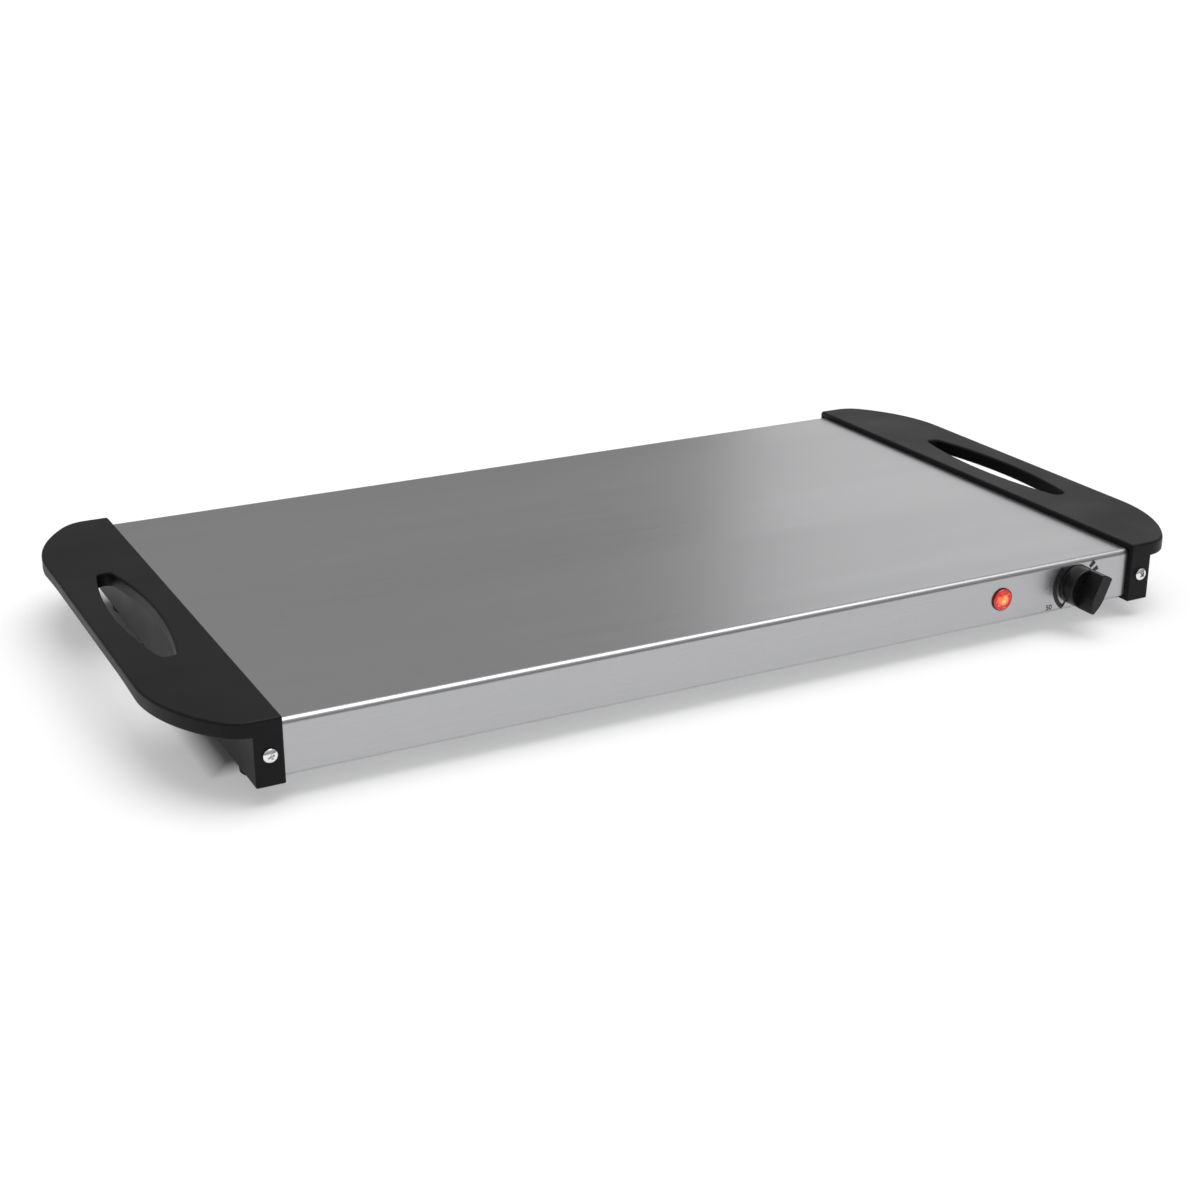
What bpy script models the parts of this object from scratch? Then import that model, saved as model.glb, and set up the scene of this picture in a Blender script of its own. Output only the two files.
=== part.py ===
"""Electric buffet server: a flat stainless warming tray held between two moulded end handles.

Metres, +Z up, X along the tray and Y from front to back. The origin lies under the middle of
the whole outline, on the surface that the feet stand on. Every piece is placed from the middle
of the tray and parented to one empty, which moves the whole model to that origin.
"""

import math

import bmesh
import bpy
from mathutils import Matrix, Vector

OBJECT_NAME = "buffet_server"

# Clearances
GAP = 0.0003
THREAD_GAP = 0.0001
OVERRUN = 0.002

# Driving sizes of the whole server
HANDLE_SPACING = 0.500
OUTLINE_DEPTH = 0.3168
TOP_HEIGHT = 0.044

# Moulded handles
HANDLE_WIDTH = 0.051
HANDLE_PLATE = 0.0029
RIM_HEIGHT = 0.0085
RIM_WALL = 0.0025
RIM_FILLET = 0.0014
FILLET_STEPS = 2
ARCH_MARGIN = 0.0304
ARCH_FLAT_SHARE = 0.45
ARCH_RISE = 0.0027
ARCH_STEPS = 8
CORNER_REACH = 0.0664
CORNER_SWEEP = 0.090
CORNER_BLEND = 0.020
INNER_CORNER = 0.0010
BRACKET_WIDTH = 0.0145
BRACKET_EDGE = 0.0020
BRACKET_INSET = 0.0001
SIDE_WALL = 0.003
END_WALL = 0.0029
SHELF = 0.0022
SLOT_OFFSET = 0.026
SLOT_LENGTH = 0.131
SLOT_WIDTH = 0.0216
SLOT_END_WIDTH = 0.0086
COLLAR_WALL = 0.0021
RIB_WALL = 0.0018
RIB_MARGIN = 0.0504
RIB_DEPTH = 0.0035
RIBS = 7

# Feet
FOOT_HEIGHT = 0.0095
FOOT_RADIUS = 0.0075
FOOT_TAPER = 0.0008
FOOT_EDGE = 0.0012
FOOT_INSET_X = 0.0036
FOOT_INSET_Y = 0.0394
LUG_RADIUS = 0.0092
LUG_DROP = 0.0002
LUG_RISE = 0.0004
BOSS_RADIUS = 0.0040
BOSS_HEIGHT = 0.0100
FOOT_FLOOR = 0.0026

# Folded tray
SHEET = 0.0006
TRAY_BEND = 0.0026
RETURN_FLANGE = 0.0105

# Base cover
COVER_SHEET = 0.0008
COVER_EDGE_GAP = 0.0020
COVER_CORNER = 0.004
PANEL_MARGIN = 0.020
PANEL_RISE = 0.0016
PANEL_SLOPE = 0.004
VENT_LENGTH = 0.036
VENT_WIDTH = 0.0032
VENT_PITCH = 0.0095
VENTS = 7
VENT_GROUP_X = 0.135

# Screws: shank radius, head radius, head height, shank length
HANDLE_SCREW = (0.0019, 0.0039, 0.0026, 0.0085)
FOOT_SCREW = (0.0015, 0.0032, 0.0022, 0.0110)
BASE_SCREW = (0.0014, 0.0029, 0.0018, 0.0048)
EARTH_SCREW = (0.0019, 0.0039, 0.0024, 0.0095)
BLOCK_SCREW = (0.0014, 0.0027, 0.0018, 0.0070)
CROSS_DEPTH_SHARE = 0.75
CROSS_WIDTH_SHARE = 0.24
CROSS_SPAN_SHARE = 1.15
NUT_FLATS = 0.0070
NUT_HEIGHT = 0.0032
HANDLE_SCREW_INSET_X = 0.0072
HANDLE_SCREW_HEIGHT = 0.0259
BASE_SCREW_SPACING = 0.215
BASE_SCREWS = 3

# Heating
SPREADER_SHEET = 0.0012
SPREADER_LENGTH = 0.450
SPREADER_DEPTH = 0.250
SPREADER_CORNER = 0.012
ELEMENT_RADIUS = 0.0033
ELEMENT_END_MARGIN = 0.040
ELEMENT_SIDE_MARGIN = 0.029
ELEMENT_LEGS = 4
ELEMENT_TAIL = 0.012
TERMINAL_BEAD = 0.005
TERMINAL_SHOULDER = 0.001
TERMINAL_PIN = 0.009
PIN_RADIUS = 0.0012
STUD_RADIUS = 0.0020
STUD_TIP = 0.0012
CLAMP_SHEET = 0.0012
CLAMP_WIDTH = 0.012
CLAMP_CORNER = 0.003
CLAMP_MARGIN = 0.035
CLAMP_END = 0.012
CLAMPS = 3
CUTOUT_RADIUS = 0.0080
CUTOUT_LIP = 0.0016
CUTOUT_CAP_SHARE = 0.33
MAT_LENGTH = 0.430
MAT_BLOCK_GAP = 0.011
MAT_THICK = 0.006
MAT_CORNER = 0.010

# Controls on the front face
CONTROL_HEIGHT = 0.0262
KNOB_X = 0.2134
KNOB_GAP = 0.0005
KNOB_RADIUS = 0.0115
KNOB_SKIRT = 0.0093
KNOB_LENGTH = 0.0202
KNOB_BEAD = 0.0007
KNOB_DRAFT = 0.0003
KNOB_WALL = 0.0018
KNOB_HOLLOW = 0.0066
KNOB_BORE = 0.0150
GRIP_HALF_WIDTH = 0.0039
GRIP_NOSE = 0.0009
GRIP_EDGE = 0.0007
GRIP_TURN = math.radians(22.3)
BUSH_RADIUS = 0.0047
BUSH_FRONT = 0.0030
BUSH_NUT_HEIGHT = 0.0020
BUSH_NUT_FLATS = 0.0130
SPINDLE_RADIUS = 0.0030
SPINDLE_FLAT = 0.0012
SPINDLE_CLEARANCE = 0.0001
SPINDLE_COLLAR = 0.0012
SPINDLE_COLLAR_HEIGHT = 0.0015
THERMOSTAT_WIDTH = 0.024
THERMOSTAT_HEIGHT = 0.020
THERMOSTAT_DEPTH = 0.017
THERMOSTAT_EDGE = 0.0012
THERMOSTAT_TAB = 0.007
THERMOSTAT_TAB_THICK = 0.0012
THERMOSTAT_TAB_SPACING = 0.012
BRACKET_SHEET = 0.0012
LAMP_X = 0.1616
LAMP_RADIUS = 0.0065
LAMP_FLANGE = 0.0009
LAMP_DOME = 0.0012
LAMP_DOME_SHARES = ((0, 1), (0.45, 0.84), (0.75, 0.5), (0.92, 0))
LAMP_EDGE = 0.0003
LAMP_BARREL = 0.0056
LAMP_BARREL_DEPTH = 0.0085
LAMP_WALL = 0.0010
LAMP_BASE_DEPTH = 0.0080
LAMP_BASE_TAPER = 0.0006
LAMP_CLIP = 0.0022
LAMP_CLIP_SHEET = 0.0008
BULB_RADIUS = 0.0021
BULB_LENGTH = 0.0120
BULB_REACH = 0.0066

# Mains inlet at the back
GLAND_X = 0.190
GLAND_RADIUS = 0.0070
GLAND_FLANGE = 0.0024
GLAND_FLANGE_HEIGHT = 0.0026
GLAND_EDGE = 0.0009
GLAND_BORE = 0.0040
GLAND_DEPTH = 0.010
GLAND_CLIP_SHEET = 0.0012
BLOCK_LENGTH = 0.034
BLOCK_DEPTH = 0.017
BLOCK_HEIGHT = 0.014
BLOCK_EDGE = 0.0012
BLOCK_WAYS = 3
BLOCK_WAY_RADIUS = 0.0021
BLOCK_WAY_DEPTH = 0.0056
BLOCK_SCREW_SEAT = 0.0049
BLOCK_INSET_Y = 0.0332
EARTH_X = 0.128
EARTH_TAG_SHEET = 0.0008
EARTH_TAG_RADIUS = 0.0040
EARTH_TAG_LENGTH = 0.0105
EARTH_TAG_NECK = 0.0040

# Facets along arcs and round full circles, the angle that stays sharp, and the weld distance
SWEEP_STEPS = 7
BLEND_STEPS = 4
SLOT_STEPS = 8
SLOT_END_STEPS = 4
CORNER_STEPS = 3
FOLD_STEPS = 5
BEND_STEPS = 6
GRIP_STEPS = 6
TAG_STEPS = 12
DOME_STEPS = 2
EDGE_STEPS = 2
TUBE_RESOLUTION = 2
ROUND_FINE = 28
ROUND = 16
ROUND_SMALL = 12
SHARP_ANGLE = math.radians(35)
WELD = 0.000001

# Heights and places that follow from the sizes above
INNER_X = HANDLE_SPACING / 2
OUTER_X = INNER_X + HANDLE_WIDTH
BRACKET_X = INNER_X + BRACKET_WIDTH
FACE_Y = OUTLINE_DEPTH / 2
OUTER_STRAIGHT = OUTLINE_DEPTH - 2 * CORNER_REACH
ARCH_LENGTH = OUTLINE_DEPTH - 2 * ARCH_MARGIN
RIB_SPACING = (OUTLINE_DEPTH - 2 * RIB_MARGIN) / (RIBS - 1)
FOOT_SPACING_Y = OUTLINE_DEPTH - 2 * FOOT_INSET_Y
PLATE_UNDER = TOP_HEIGHT - HANDLE_PLATE
RIM_UNDER = TOP_HEIGHT - RIM_HEIGHT
LUG_UNDER = FOOT_HEIGHT + GAP
SHELF_UNDER = LUG_UNDER + LUG_DROP
SHELF_TOP = SHELF_UNDER + SHELF
TRAY_TOP = PLATE_UNDER - GAP
TRAY_UNDER = TRAY_TOP - SHEET
TRAY_BOTTOM = SHELF_TOP + GAP
TRAY_FACE_Y = FACE_Y - END_WALL - GAP
TRAY_END_X = BRACKET_X - SIDE_WALL - GAP
COVER_TOP = TRAY_BOTTOM - GAP
FLANGE_END_Y = TRAY_FACE_Y - RETURN_FLANGE
SPREADER_TOP = TRAY_UNDER - GAP
ELEMENT_TOP = SPREADER_TOP - SPREADER_SHEET - GAP
ELEMENT_Z = ELEMENT_TOP - ELEMENT_RADIUS
CLAMP_TOP = ELEMENT_Z - ELEMENT_RADIUS - GAP
CLAMP_NUT_TOP = CLAMP_TOP - CLAMP_SHEET - GAP
STUD_BOTTOM = CLAMP_NUT_TOP - NUT_HEIGHT - STUD_TIP
ELEMENT_LEG = SPREADER_LENGTH - 2 * ELEMENT_END_MARGIN
ELEMENT_PITCH = (SPREADER_DEPTH - 2 * ELEMENT_SIDE_MARGIN) / (ELEMENT_LEGS - 1)
CLAMP_SPACING = (ELEMENT_LEG - 2 * CLAMP_MARGIN) / (CLAMPS - 1)
BLOCK_Y = TRAY_FACE_Y - BLOCK_INSET_Y
MAT_DEPTH = 2 * (BLOCK_Y - BLOCK_DEPTH / 2 - MAT_BLOCK_GAP)
FOOT_X = INNER_X + FOOT_INSET_X
SLOT_X = INNER_X + SLOT_OFFSET
SLOT_HALF = SLOT_LENGTH / 2
HANDLE_SCREW_X = INNER_X + HANDLE_SCREW_INSET_X
KNOB_FRONT_Y = -(TRAY_FACE_Y + KNOB_GAP + KNOB_LENGTH)
SCREW_SEAT_Y = FACE_Y - BRACKET_INSET + THREAD_GAP
BACK_Y = SCREW_SEAT_Y + HANDLE_SCREW[2]
ORIGIN_SHIFT = -(KNOB_FRONT_Y + BACK_Y) / 2

for old in list(bpy.data.objects):
    bpy.data.objects.remove(old, do_unlink=True)

parts = bpy.data.collections.new(OBJECT_NAME)
cutters = bpy.data.collections.new("cutters")
bpy.context.scene.collection.children.link(parts)
bpy.context.scene.collection.children.link(cutters)

server = bpy.data.objects.new("server_origin", None)
server.location = (0, ORIGIN_SHIFT, 0)
parts.objects.link(server)


def material(name, colour, roughness, metallic=0.0):
    """A Principled material with the finish of one kind of piece."""
    made = bpy.data.materials.new(name)
    made.use_nodes = True
    shader = made.node_tree.nodes["Principled BSDF"]
    shader.inputs["Base Color"].default_value = (*colour, 1.0)
    shader.inputs["Roughness"].default_value = roughness
    shader.inputs["Metallic"].default_value = metallic
    return made


STEEL = material("brushed_stainless", (0.46, 0.46, 0.47), 0.32, 1.0)
COVER_STEEL = material("plated_cover", (0.52, 0.53, 0.54), 0.45, 1.0)
BLACK = material("black_moulding", (0.024, 0.024, 0.026), 0.48)
KNOB_BLACK = material("black_knob", (0.016, 0.016, 0.017), 0.34)
BRIGHT = material("bright_plating", (0.80, 0.80, 0.80), 0.18, 1.0)
ALUMINIUM = material("aluminium", (0.70, 0.70, 0.71), 0.38, 1.0)
SHEATH = material("element_sheath", (0.20, 0.17, 0.15), 0.50, 1.0)
CERAMIC = material("ceramic", (0.82, 0.79, 0.71), 0.42)
RED_LENS = material("red_lens", (0.75, 0.04, 0.02), 0.16)
BULB_GLASS = material("bulb_glass", (0.95, 0.45, 0.15), 0.08)
FIBRE = material("fibre_mat", (0.78, 0.76, 0.70), 0.95)
RUBBER = material("foot_rubber", (0.030, 0.030, 0.031), 0.75)
NYLON = material("nylon", (0.030, 0.030, 0.032), 0.42)
BRASS = material("brass", (0.60, 0.45, 0.20), 0.35, 1.0)


def finish(obj, finish_material):
    """Gives a finished piece its material, its parent and its shading."""
    obj.data.materials.clear()
    obj.data.materials.append(finish_material)
    obj.parent = server
    mesh = obj.data
    mesh.shade_smooth()
    mesh.set_sharp_from_angle(angle=SHARP_ANGLE)
    return obj


def put(name, mesh, is_cutter=False):
    """An object for a mesh, among the parts or among the hidden cutters."""
    obj = bpy.data.objects.new(name, mesh)
    if is_cutter:
        cutters.objects.link(obj)
        obj.hide_render = True
        obj.display_type = "WIRE"
        obj.parent = server
    else:
        parts.objects.link(obj)
    return obj


def mesh_from(bm, name):
    """Turns a bmesh into a mesh whose faces point outwards."""
    bm.normal_update()
    bmesh.ops.recalc_face_normals(bm, faces=bm.faces)
    mesh = bpy.data.meshes.new(name)
    bm.to_mesh(mesh)
    bm.free()
    return mesh


def add_box(bm, low, high):
    """Adds a box between two corners to a bmesh."""
    low, high = Vector(low), Vector(high)
    size = high - low
    place = Matrix.Translation((low + high) / 2) @ Matrix.Diagonal((*size, 1))
    return bmesh.ops.create_cube(bm, size=1, matrix=place)["verts"]


def add_round(bm, radius, start, end, segments=ROUND, end_radius=None):
    """Adds a cylinder or cone from one point to another to a bmesh."""
    start, end = Vector(start), Vector(end)
    way = end - start
    turn = way.to_track_quat("Z", "Y").to_matrix().to_4x4()
    place = Matrix.Translation((start + end) / 2) @ turn
    far = radius if end_radius is None else end_radius
    made = bmesh.ops.create_cone(
        bm, cap_ends=True, segments=segments, radius1=radius, radius2=far,
        depth=way.length, matrix=place)
    return made["verts"]


def add_hole(bm, radius, start, end, segments=ROUND):
    """Adds a cutter whose flats, and not only its corners, clear a round of this radius."""
    return add_round(bm, radius / math.cos(math.pi / segments), start, end, segments)


def box_mesh(name, low, high):
    bm = bmesh.new()
    add_box(bm, low, high)
    return mesh_from(bm, name)


def round_mesh(name, radius, start, end, segments=ROUND, end_radius=None):
    bm = bmesh.new()
    add_round(bm, radius, start, end, segments, end_radius)
    return mesh_from(bm, name)


def plate_mesh(name, outlines, low, high, rounding=0.0, steps=1):
    """A flat plate between two heights, filled between its outlines, its edges rounded or not."""
    curve = bpy.data.curves.new(name, "CURVE")
    curve.dimensions = "2D"
    curve.fill_mode = "BOTH"
    curve.extrude = (high - low) / 2 - rounding
    curve.bevel_depth = rounding
    curve.bevel_resolution = steps - 1
    curve.offset = -rounding
    for outline in outlines:
        spline = curve.splines.new("POLY")
        spline.points.add(len(outline) - 1)
        for point, (x, y) in zip(spline.points, outline):
            point.co = (x, y, 0, 1)
        spline.use_cyclic_u = True
    outlined = put(name, curve, True)
    bpy.context.view_layer.update()
    graph = bpy.context.evaluated_depsgraph_get()
    mesh = bpy.data.meshes.new_from_object(outlined.evaluated_get(graph))
    bpy.data.objects.remove(outlined, do_unlink=True)
    bm = bmesh.new()
    bm.from_mesh(mesh)
    bpy.data.meshes.remove(mesh)
    bmesh.ops.remove_doubles(bm, verts=bm.verts, dist=WELD)
    bmesh.ops.translate(bm, verts=bm.verts, vec=(0, 0, (low + high) / 2))
    return mesh_from(bm, name)


def bevelled(mesh, radius, segments, chosen):
    """Rounds the edges of a mesh that the function chosen picks."""
    bm = bmesh.new()
    bm.from_mesh(mesh)
    edges = [edge for edge in bm.edges if chosen(edge)]
    bmesh.ops.bevel(
        bm, geom=edges, offset=radius, segments=segments, profile=0.5,
        affect="EDGES", clamp_overlap=True)
    bmesh.ops.recalc_face_normals(bm, faces=bm.faces)
    bm.to_mesh(mesh)
    bm.free()
    return mesh


def at_height(z):
    """Chooses the edges that lie at one height."""
    return lambda edge: all(abs(vert.co.z - z) < WELD for vert in edge.verts)


def boolean(obj, other, operation="DIFFERENCE"):
    """Cuts another object from a piece, or joins it on."""
    modifier = obj.modifiers.new(f"{operation.lower()}_{other.name}", "BOOLEAN")
    modifier.operation = operation
    modifier.solver = "EXACT"
    modifier.object = other
    return obj


def turned(name, profile, segments=ROUND):
    """A closed turned piece on the Z axis, from its (radius, height) profile, top to bottom.

    The profile starts and ends on the axis, or closes on itself round a bore.
    """
    bm = bmesh.new()
    verts = [bm.verts.new((radius, 0, height)) for radius, height in profile]
    for first, second in zip(verts, verts[1:]):
        bm.edges.new((first, second))
    if profile[0][0] > 0 and profile[-1][0] > 0:
        bm.edges.new((verts[-1], verts[0]))
    mesh = bpy.data.meshes.new(name)
    bm.to_mesh(mesh)
    bm.free()
    obj = put(name, mesh)
    screw = obj.modifiers.new("turn", "SCREW")
    screw.steps = segments
    screw.render_steps = segments
    screw.use_merge_vertices = True
    screw.merge_threshold = WELD
    screw.use_smooth_shade = True
    return baked(obj)


def baked(obj):
    """Applies an object's modifiers, so that its mesh can be shared or turned."""
    bpy.context.view_layer.update()
    graph = bpy.context.evaluated_depsgraph_get()
    mesh = bpy.data.meshes.new_from_object(obj.evaluated_get(graph))
    old = obj.data
    obj.modifiers.clear()
    obj.data = mesh
    if old.users == 0:
        bpy.data.meshes.remove(old)
    bm = bmesh.new()
    bm.from_mesh(mesh)
    bmesh.ops.recalc_face_normals(bm, faces=bm.faces)
    bm.to_mesh(mesh)
    bm.free()
    return obj


def arc(centre, radius, start, end, steps):
    """Points on an arc from one angle to another, in radians, both ends included."""
    return [
        (centre[0] + radius * math.cos(start + (end - start) * step / steps),
         centre[1] + radius * math.sin(start + (end - start) * step / steps))
        for step in range(steps + 1)]


def rounded_rectangle(low, high, radius, steps=CORNER_STEPS):
    """Points round a rectangle with round corners, anticlockwise."""
    (x0, y0), (x1, y1) = low, high
    quarter = math.pi / 2
    corners = [(x1 - radius, y0 + radius), (x1 - radius, y1 - radius),
               (x0 + radius, y1 - radius), (x0 + radius, y0 + radius)]
    points = []
    for number, corner in enumerate(corners):
        start = (number - 1) * quarter
        points += arc(corner, radius, start, start + quarter, steps)
    return points


def dome(radius, height, low=0.0):
    """Profile points of a domed end, from its crown on the axis down to its rim."""
    return [(y * radius, low + x * height) for x, y in arc((0, 0), 1, 0, math.pi / 2, DOME_STEPS)]


def hexagon(across_flats):
    """Points of a hexagon with two flats level with the X axis."""
    radius = across_flats / math.sqrt(3)
    return arc((0, 0), radius, 0, 2 * math.pi, 6)[:-1]


def circle(radius, segments, centre=(0, 0)):
    return arc(centre, radius, 0, 2 * math.pi, segments)[:-1]


def hole(radius, segments, centre=(0, 0)):
    """Points of a round hole whose flats clear a round of this radius."""
    return circle(radius / math.cos(math.pi / segments), segments, centre)


FACE_FRONT = Matrix.Rotation(math.pi / 2, 4, "X")
FACE_BACK = Matrix.Rotation(-math.pi / 2, 4, "X")
FACE_DOWN = Matrix.Rotation(math.pi, 4, "X")
FACE_UP = Matrix.Identity(4)

# The four corners of the server: name, x sign, y sign
CORNERS = (
    ("front_left", -1, -1), ("front_right", 1, -1),
    ("back_left", -1, 1), ("back_right", 1, 1))


def place(name, mesh, facing, location, finish_material):
    """A copy of a mesh made on the Z axis, turned to face a side and moved to its place."""
    obj = put(name, mesh)
    finish(obj, finish_material)
    obj.matrix_local = Matrix.Translation(location) @ facing
    return obj


# Screws and nuts


def screw_mesh(name, sizes):
    """A pan-head screw with a cross recess: head above the origin, shank below it."""
    shank, head, height, length = sizes
    profile = dome(head, height) + [(shank, 0), (shank, shank - length), (0, -length)]
    obj = turned(name, profile, ROUND_SMALL)
    depth = height * CROSS_DEPTH_SHARE
    half = head * CROSS_WIDTH_SHARE / 2
    span = head * CROSS_SPAN_SHARE / 2
    bm = bmesh.new()
    add_box(bm, (-span, -half, height - depth), (span, half, height + OVERRUN))
    first = put(name + "_cross_along", mesh_from(bm, name + "_cross_along"), True)
    bm = bmesh.new()
    add_box(bm, (-half, -span, height - depth), (half, span, height + OVERRUN))
    second = put(name + "_cross_over", mesh_from(bm, name + "_cross_over"), True)
    first.parent = None
    second.parent = None
    boolean(obj, first)
    boolean(obj, second)
    baked(obj)
    mesh = obj.data
    for helper in (obj, first, second):
        bpy.data.objects.remove(helper, do_unlink=True)
    return mesh


def nut_mesh(name, across_flats, height, bore):
    """A hexagon nut that stands on the origin."""
    outlines = [hexagon(across_flats), hole(bore, ROUND_SMALL)]
    return plate_mesh(name, outlines, 0, height)


# Handles


def handle_outline(inset=0.0):
    """Edge of a right-hand handle: a long straight side whose corners sweep round to the ends.

    An inset moves the sweep, the blend and the straight edges inwards alike.
    """
    sweep = CORNER_SWEEP - inset
    blend = CORNER_BLEND - inset
    outer = OUTER_X - inset
    edge = FACE_Y - inset
    sweep_centre = Vector((outer - sweep, OUTER_STRAIGHT / 2))
    blend_y = edge - blend
    rise = blend_y - sweep_centre.y
    run = math.sqrt((sweep - blend) ** 2 - rise ** 2)
    blend_centre = Vector((sweep_centre.x + run, blend_y))
    meet = math.atan2(rise, run)
    upper = arc(sweep_centre, sweep, 0, meet, SWEEP_STEPS)
    upper += arc(blend_centre, blend, meet, math.pi / 2, BLEND_STEPS)[1:]
    return upper


def mirrored_outline(upper, inner_x, corner):
    """Closes the upper half of a handle's edge with its inner corners and its lower half."""
    top = upper[-1][1]
    inner = arc((inner_x + corner, top - corner), corner, math.pi / 2, math.pi, CORNER_STEPS)
    half = upper + inner
    return half + [(x, -y) for x, y in reversed(half)]


def slot_outline(margin=0.0):
    """The finger slot: two long shallow arcs between round ends, with a margin all round."""
    half_width = SLOT_WIDTH / 2
    end_half = SLOT_END_WIDTH / 2
    straight = SLOT_HALF - end_half
    sag = half_width - end_half
    radius = (straight ** 2 + sag ** 2) / (2 * sag)
    spread = math.asin(straight / radius)
    side = arc((SLOT_X - radius + half_width, 0), radius + margin, -spread, spread, SLOT_STEPS)
    cap = arc((SLOT_X, straight), end_half + margin, spread, math.pi - spread, SLOT_END_STEPS)[1:-1]
    half = side + cap
    return half + [(2 * SLOT_X - x, -y) for x, y in half]


def handle_hollow(name):
    """Cutter for the space under the plate, which leaves the rim, collar and ribs standing."""
    upper = handle_outline(RIM_WALL)
    edge = mirrored_outline(upper, INNER_X + RIM_WALL, INNER_CORNER)
    hollow = put(name, plate_mesh(name, [edge], RIM_UNDER - OVERRUN, PLATE_UNDER), True)
    collar_name = name + "_collar"
    collar_mesh = plate_mesh(
        collar_name, [slot_outline(COLLAR_WALL)], RIM_UNDER - 2 * OVERRUN, TOP_HEIGHT)
    collar = put(collar_name, collar_mesh, True)
    boolean(hollow, collar)
    rib_name = name + "_ribs"
    bm = bmesh.new()
    for rib in range(RIBS):
        middle = (rib - (RIBS - 1) / 2) * RIB_SPACING
        add_box(bm, (INNER_X, middle - RIB_WALL / 2, PLATE_UNDER - RIB_DEPTH),
                (OUTER_X, middle + RIB_WALL / 2, TOP_HEIGHT))
    ribs = put(rib_name, mesh_from(bm, rib_name), True)
    boolean(hollow, ribs)
    return hollow


def handle_bracket(name):
    """The upright box that grips the tray's end: side wall, end walls and shelf in one."""
    low = (INNER_X + BRACKET_INSET, -FACE_Y + BRACKET_INSET)
    high = (BRACKET_X, FACE_Y - BRACKET_INSET)
    outline = rounded_rectangle(low, high, INNER_CORNER)
    top = (PLATE_UNDER + TOP_HEIGHT - RIM_FILLET) / 2
    mesh = plate_mesh(name, [outline], SHELF_UNDER, top)
    bevelled(mesh, BRACKET_EDGE, EDGE_STEPS, at_height(SHELF_UNDER))
    return put(name, mesh, True)


def tray_seat(name):
    """Cutter for the space between plate, shelf and walls that the tray's end slides into."""
    mesh = box_mesh(
        name,
        (INNER_X - OVERRUN, -FACE_Y + END_WALL, SHELF_TOP),
        (BRACKET_X - SIDE_WALL, FACE_Y - END_WALL, PLATE_UNDER))
    return put(name, mesh, True)


def foot_lugs(name):
    """Round lugs with bosses on the shelf, one over each foot."""
    bm = bmesh.new()
    for side in (-1, 1):
        y = side * FOOT_SPACING_Y / 2
        add_round(bm, LUG_RADIUS, (FOOT_X, y, LUG_UNDER), (FOOT_X, y, SHELF_TOP + LUG_RISE))
    lugs = put(name, mesh_from(bm, name), True)
    boss_name = name + "_bosses"
    bm = bmesh.new()
    for side in (-1, 1):
        y = side * FOOT_SPACING_Y / 2
        add_round(bm, BOSS_RADIUS, (FOOT_X, y, SHELF_TOP), (FOOT_X, y, SHELF_TOP + BOSS_HEIGHT),
                  ROUND_SMALL)
    bosses = put(boss_name, mesh_from(bm, boss_name), True)
    boolean(lugs, bosses, "UNION")
    return lugs


def handle_holes(name):
    """Cutters for the screws through the end walls and up into the bosses."""
    bm = bmesh.new()
    shank = HANDLE_SCREW[0] + GAP
    for side in (-1, 1):
        add_hole(bm, shank, (HANDLE_SCREW_X, side * (FACE_Y + OVERRUN), HANDLE_SCREW_HEIGHT),
                  (HANDLE_SCREW_X, side * (FACE_Y - END_WALL - OVERRUN), HANDLE_SCREW_HEIGHT),
                  ROUND_SMALL)
        y = side * FOOT_SPACING_Y / 2
        deep = FOOT_FLOOR + FOOT_SCREW[2] + FOOT_SCREW[3] + GAP
        add_hole(bm, FOOT_SCREW[0] + THREAD_GAP, (FOOT_X, y, LUG_UNDER - OVERRUN),
                  (FOOT_X, y, deep), ROUND_SMALL)
    return put(name, mesh_from(bm, name), True)


def handle_blank(name):
    """The solid plate and rim with the finger slot through it, their edges rounded."""
    edge = mirrored_outline(handle_outline(), INNER_X, INNER_CORNER)
    outlines = [edge, slot_outline()]
    mesh = plate_mesh(name, outlines, RIM_UNDER, TOP_HEIGHT, RIM_FILLET, FILLET_STEPS)
    return put(name, mesh, True)


def rim_arch(name):
    """Cutter that raises the lower edge of the outer rim in a long shallow arch."""
    half = ARCH_LENGTH / 2
    flat = half * ARCH_FLAT_SHARE
    curve = []
    for step in range(ARCH_STEPS + 1):
        share = step / ARCH_STEPS
        y = half + (flat - half) * share
        curve.append((y, RIM_UNDER + ARCH_RISE * (1 - math.cos(math.pi * share)) / 2))
    low = RIM_UNDER - OVERRUN
    half_outline = [(half, low)] + curve
    outline = half_outline + [(-y, z) for y, z in reversed(half_outline)]
    start = SLOT_X + SLOT_WIDTH / 2 + COLLAR_WALL + GAP
    mesh = plate_mesh(name, [outline], start, OUTER_X + OVERRUN)
    mesh.transform(Matrix(((0, 0, 1, 0), (1, 0, 0, 0), (0, 1, 0, 0), (0, 0, 0, 1))))
    return put(name, mesh, True)


def build_handle_mesh():
    """The right-hand handle as one mesh."""
    handle = handle_blank("handle_blank")
    boolean(handle, handle_hollow("handle_hollow"))
    boolean(handle, rim_arch("rim_arch"))
    boolean(handle, handle_bracket("bracket_block"), "UNION")
    boolean(handle, tray_seat("tray_seat"))
    boolean(handle, foot_lugs("foot_lugs"), "UNION")
    boolean(handle, handle_holes("handle_holes"))
    handle.parent = None
    for other in cutters.objects:
        other.parent = None
    baked(handle)
    made = handle.data
    made.name = "handle"
    bpy.data.objects.remove(handle, do_unlink=True)
    for other in list(cutters.objects):
        other.parent = server
    return made


def build_handles():
    """Both handles, the left one a mirror image of the right."""
    right_mesh = build_handle_mesh()
    left_mesh = right_mesh.copy()
    left_mesh.name = "left_handle"
    left_mesh.transform(Matrix.Diagonal((-1, 1, 1, 1)))
    left_mesh.flip_normals()
    for name, mesh in (("right_handle", right_mesh), ("left_handle", left_mesh)):
        finish(put(name, mesh), BLACK)


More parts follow.
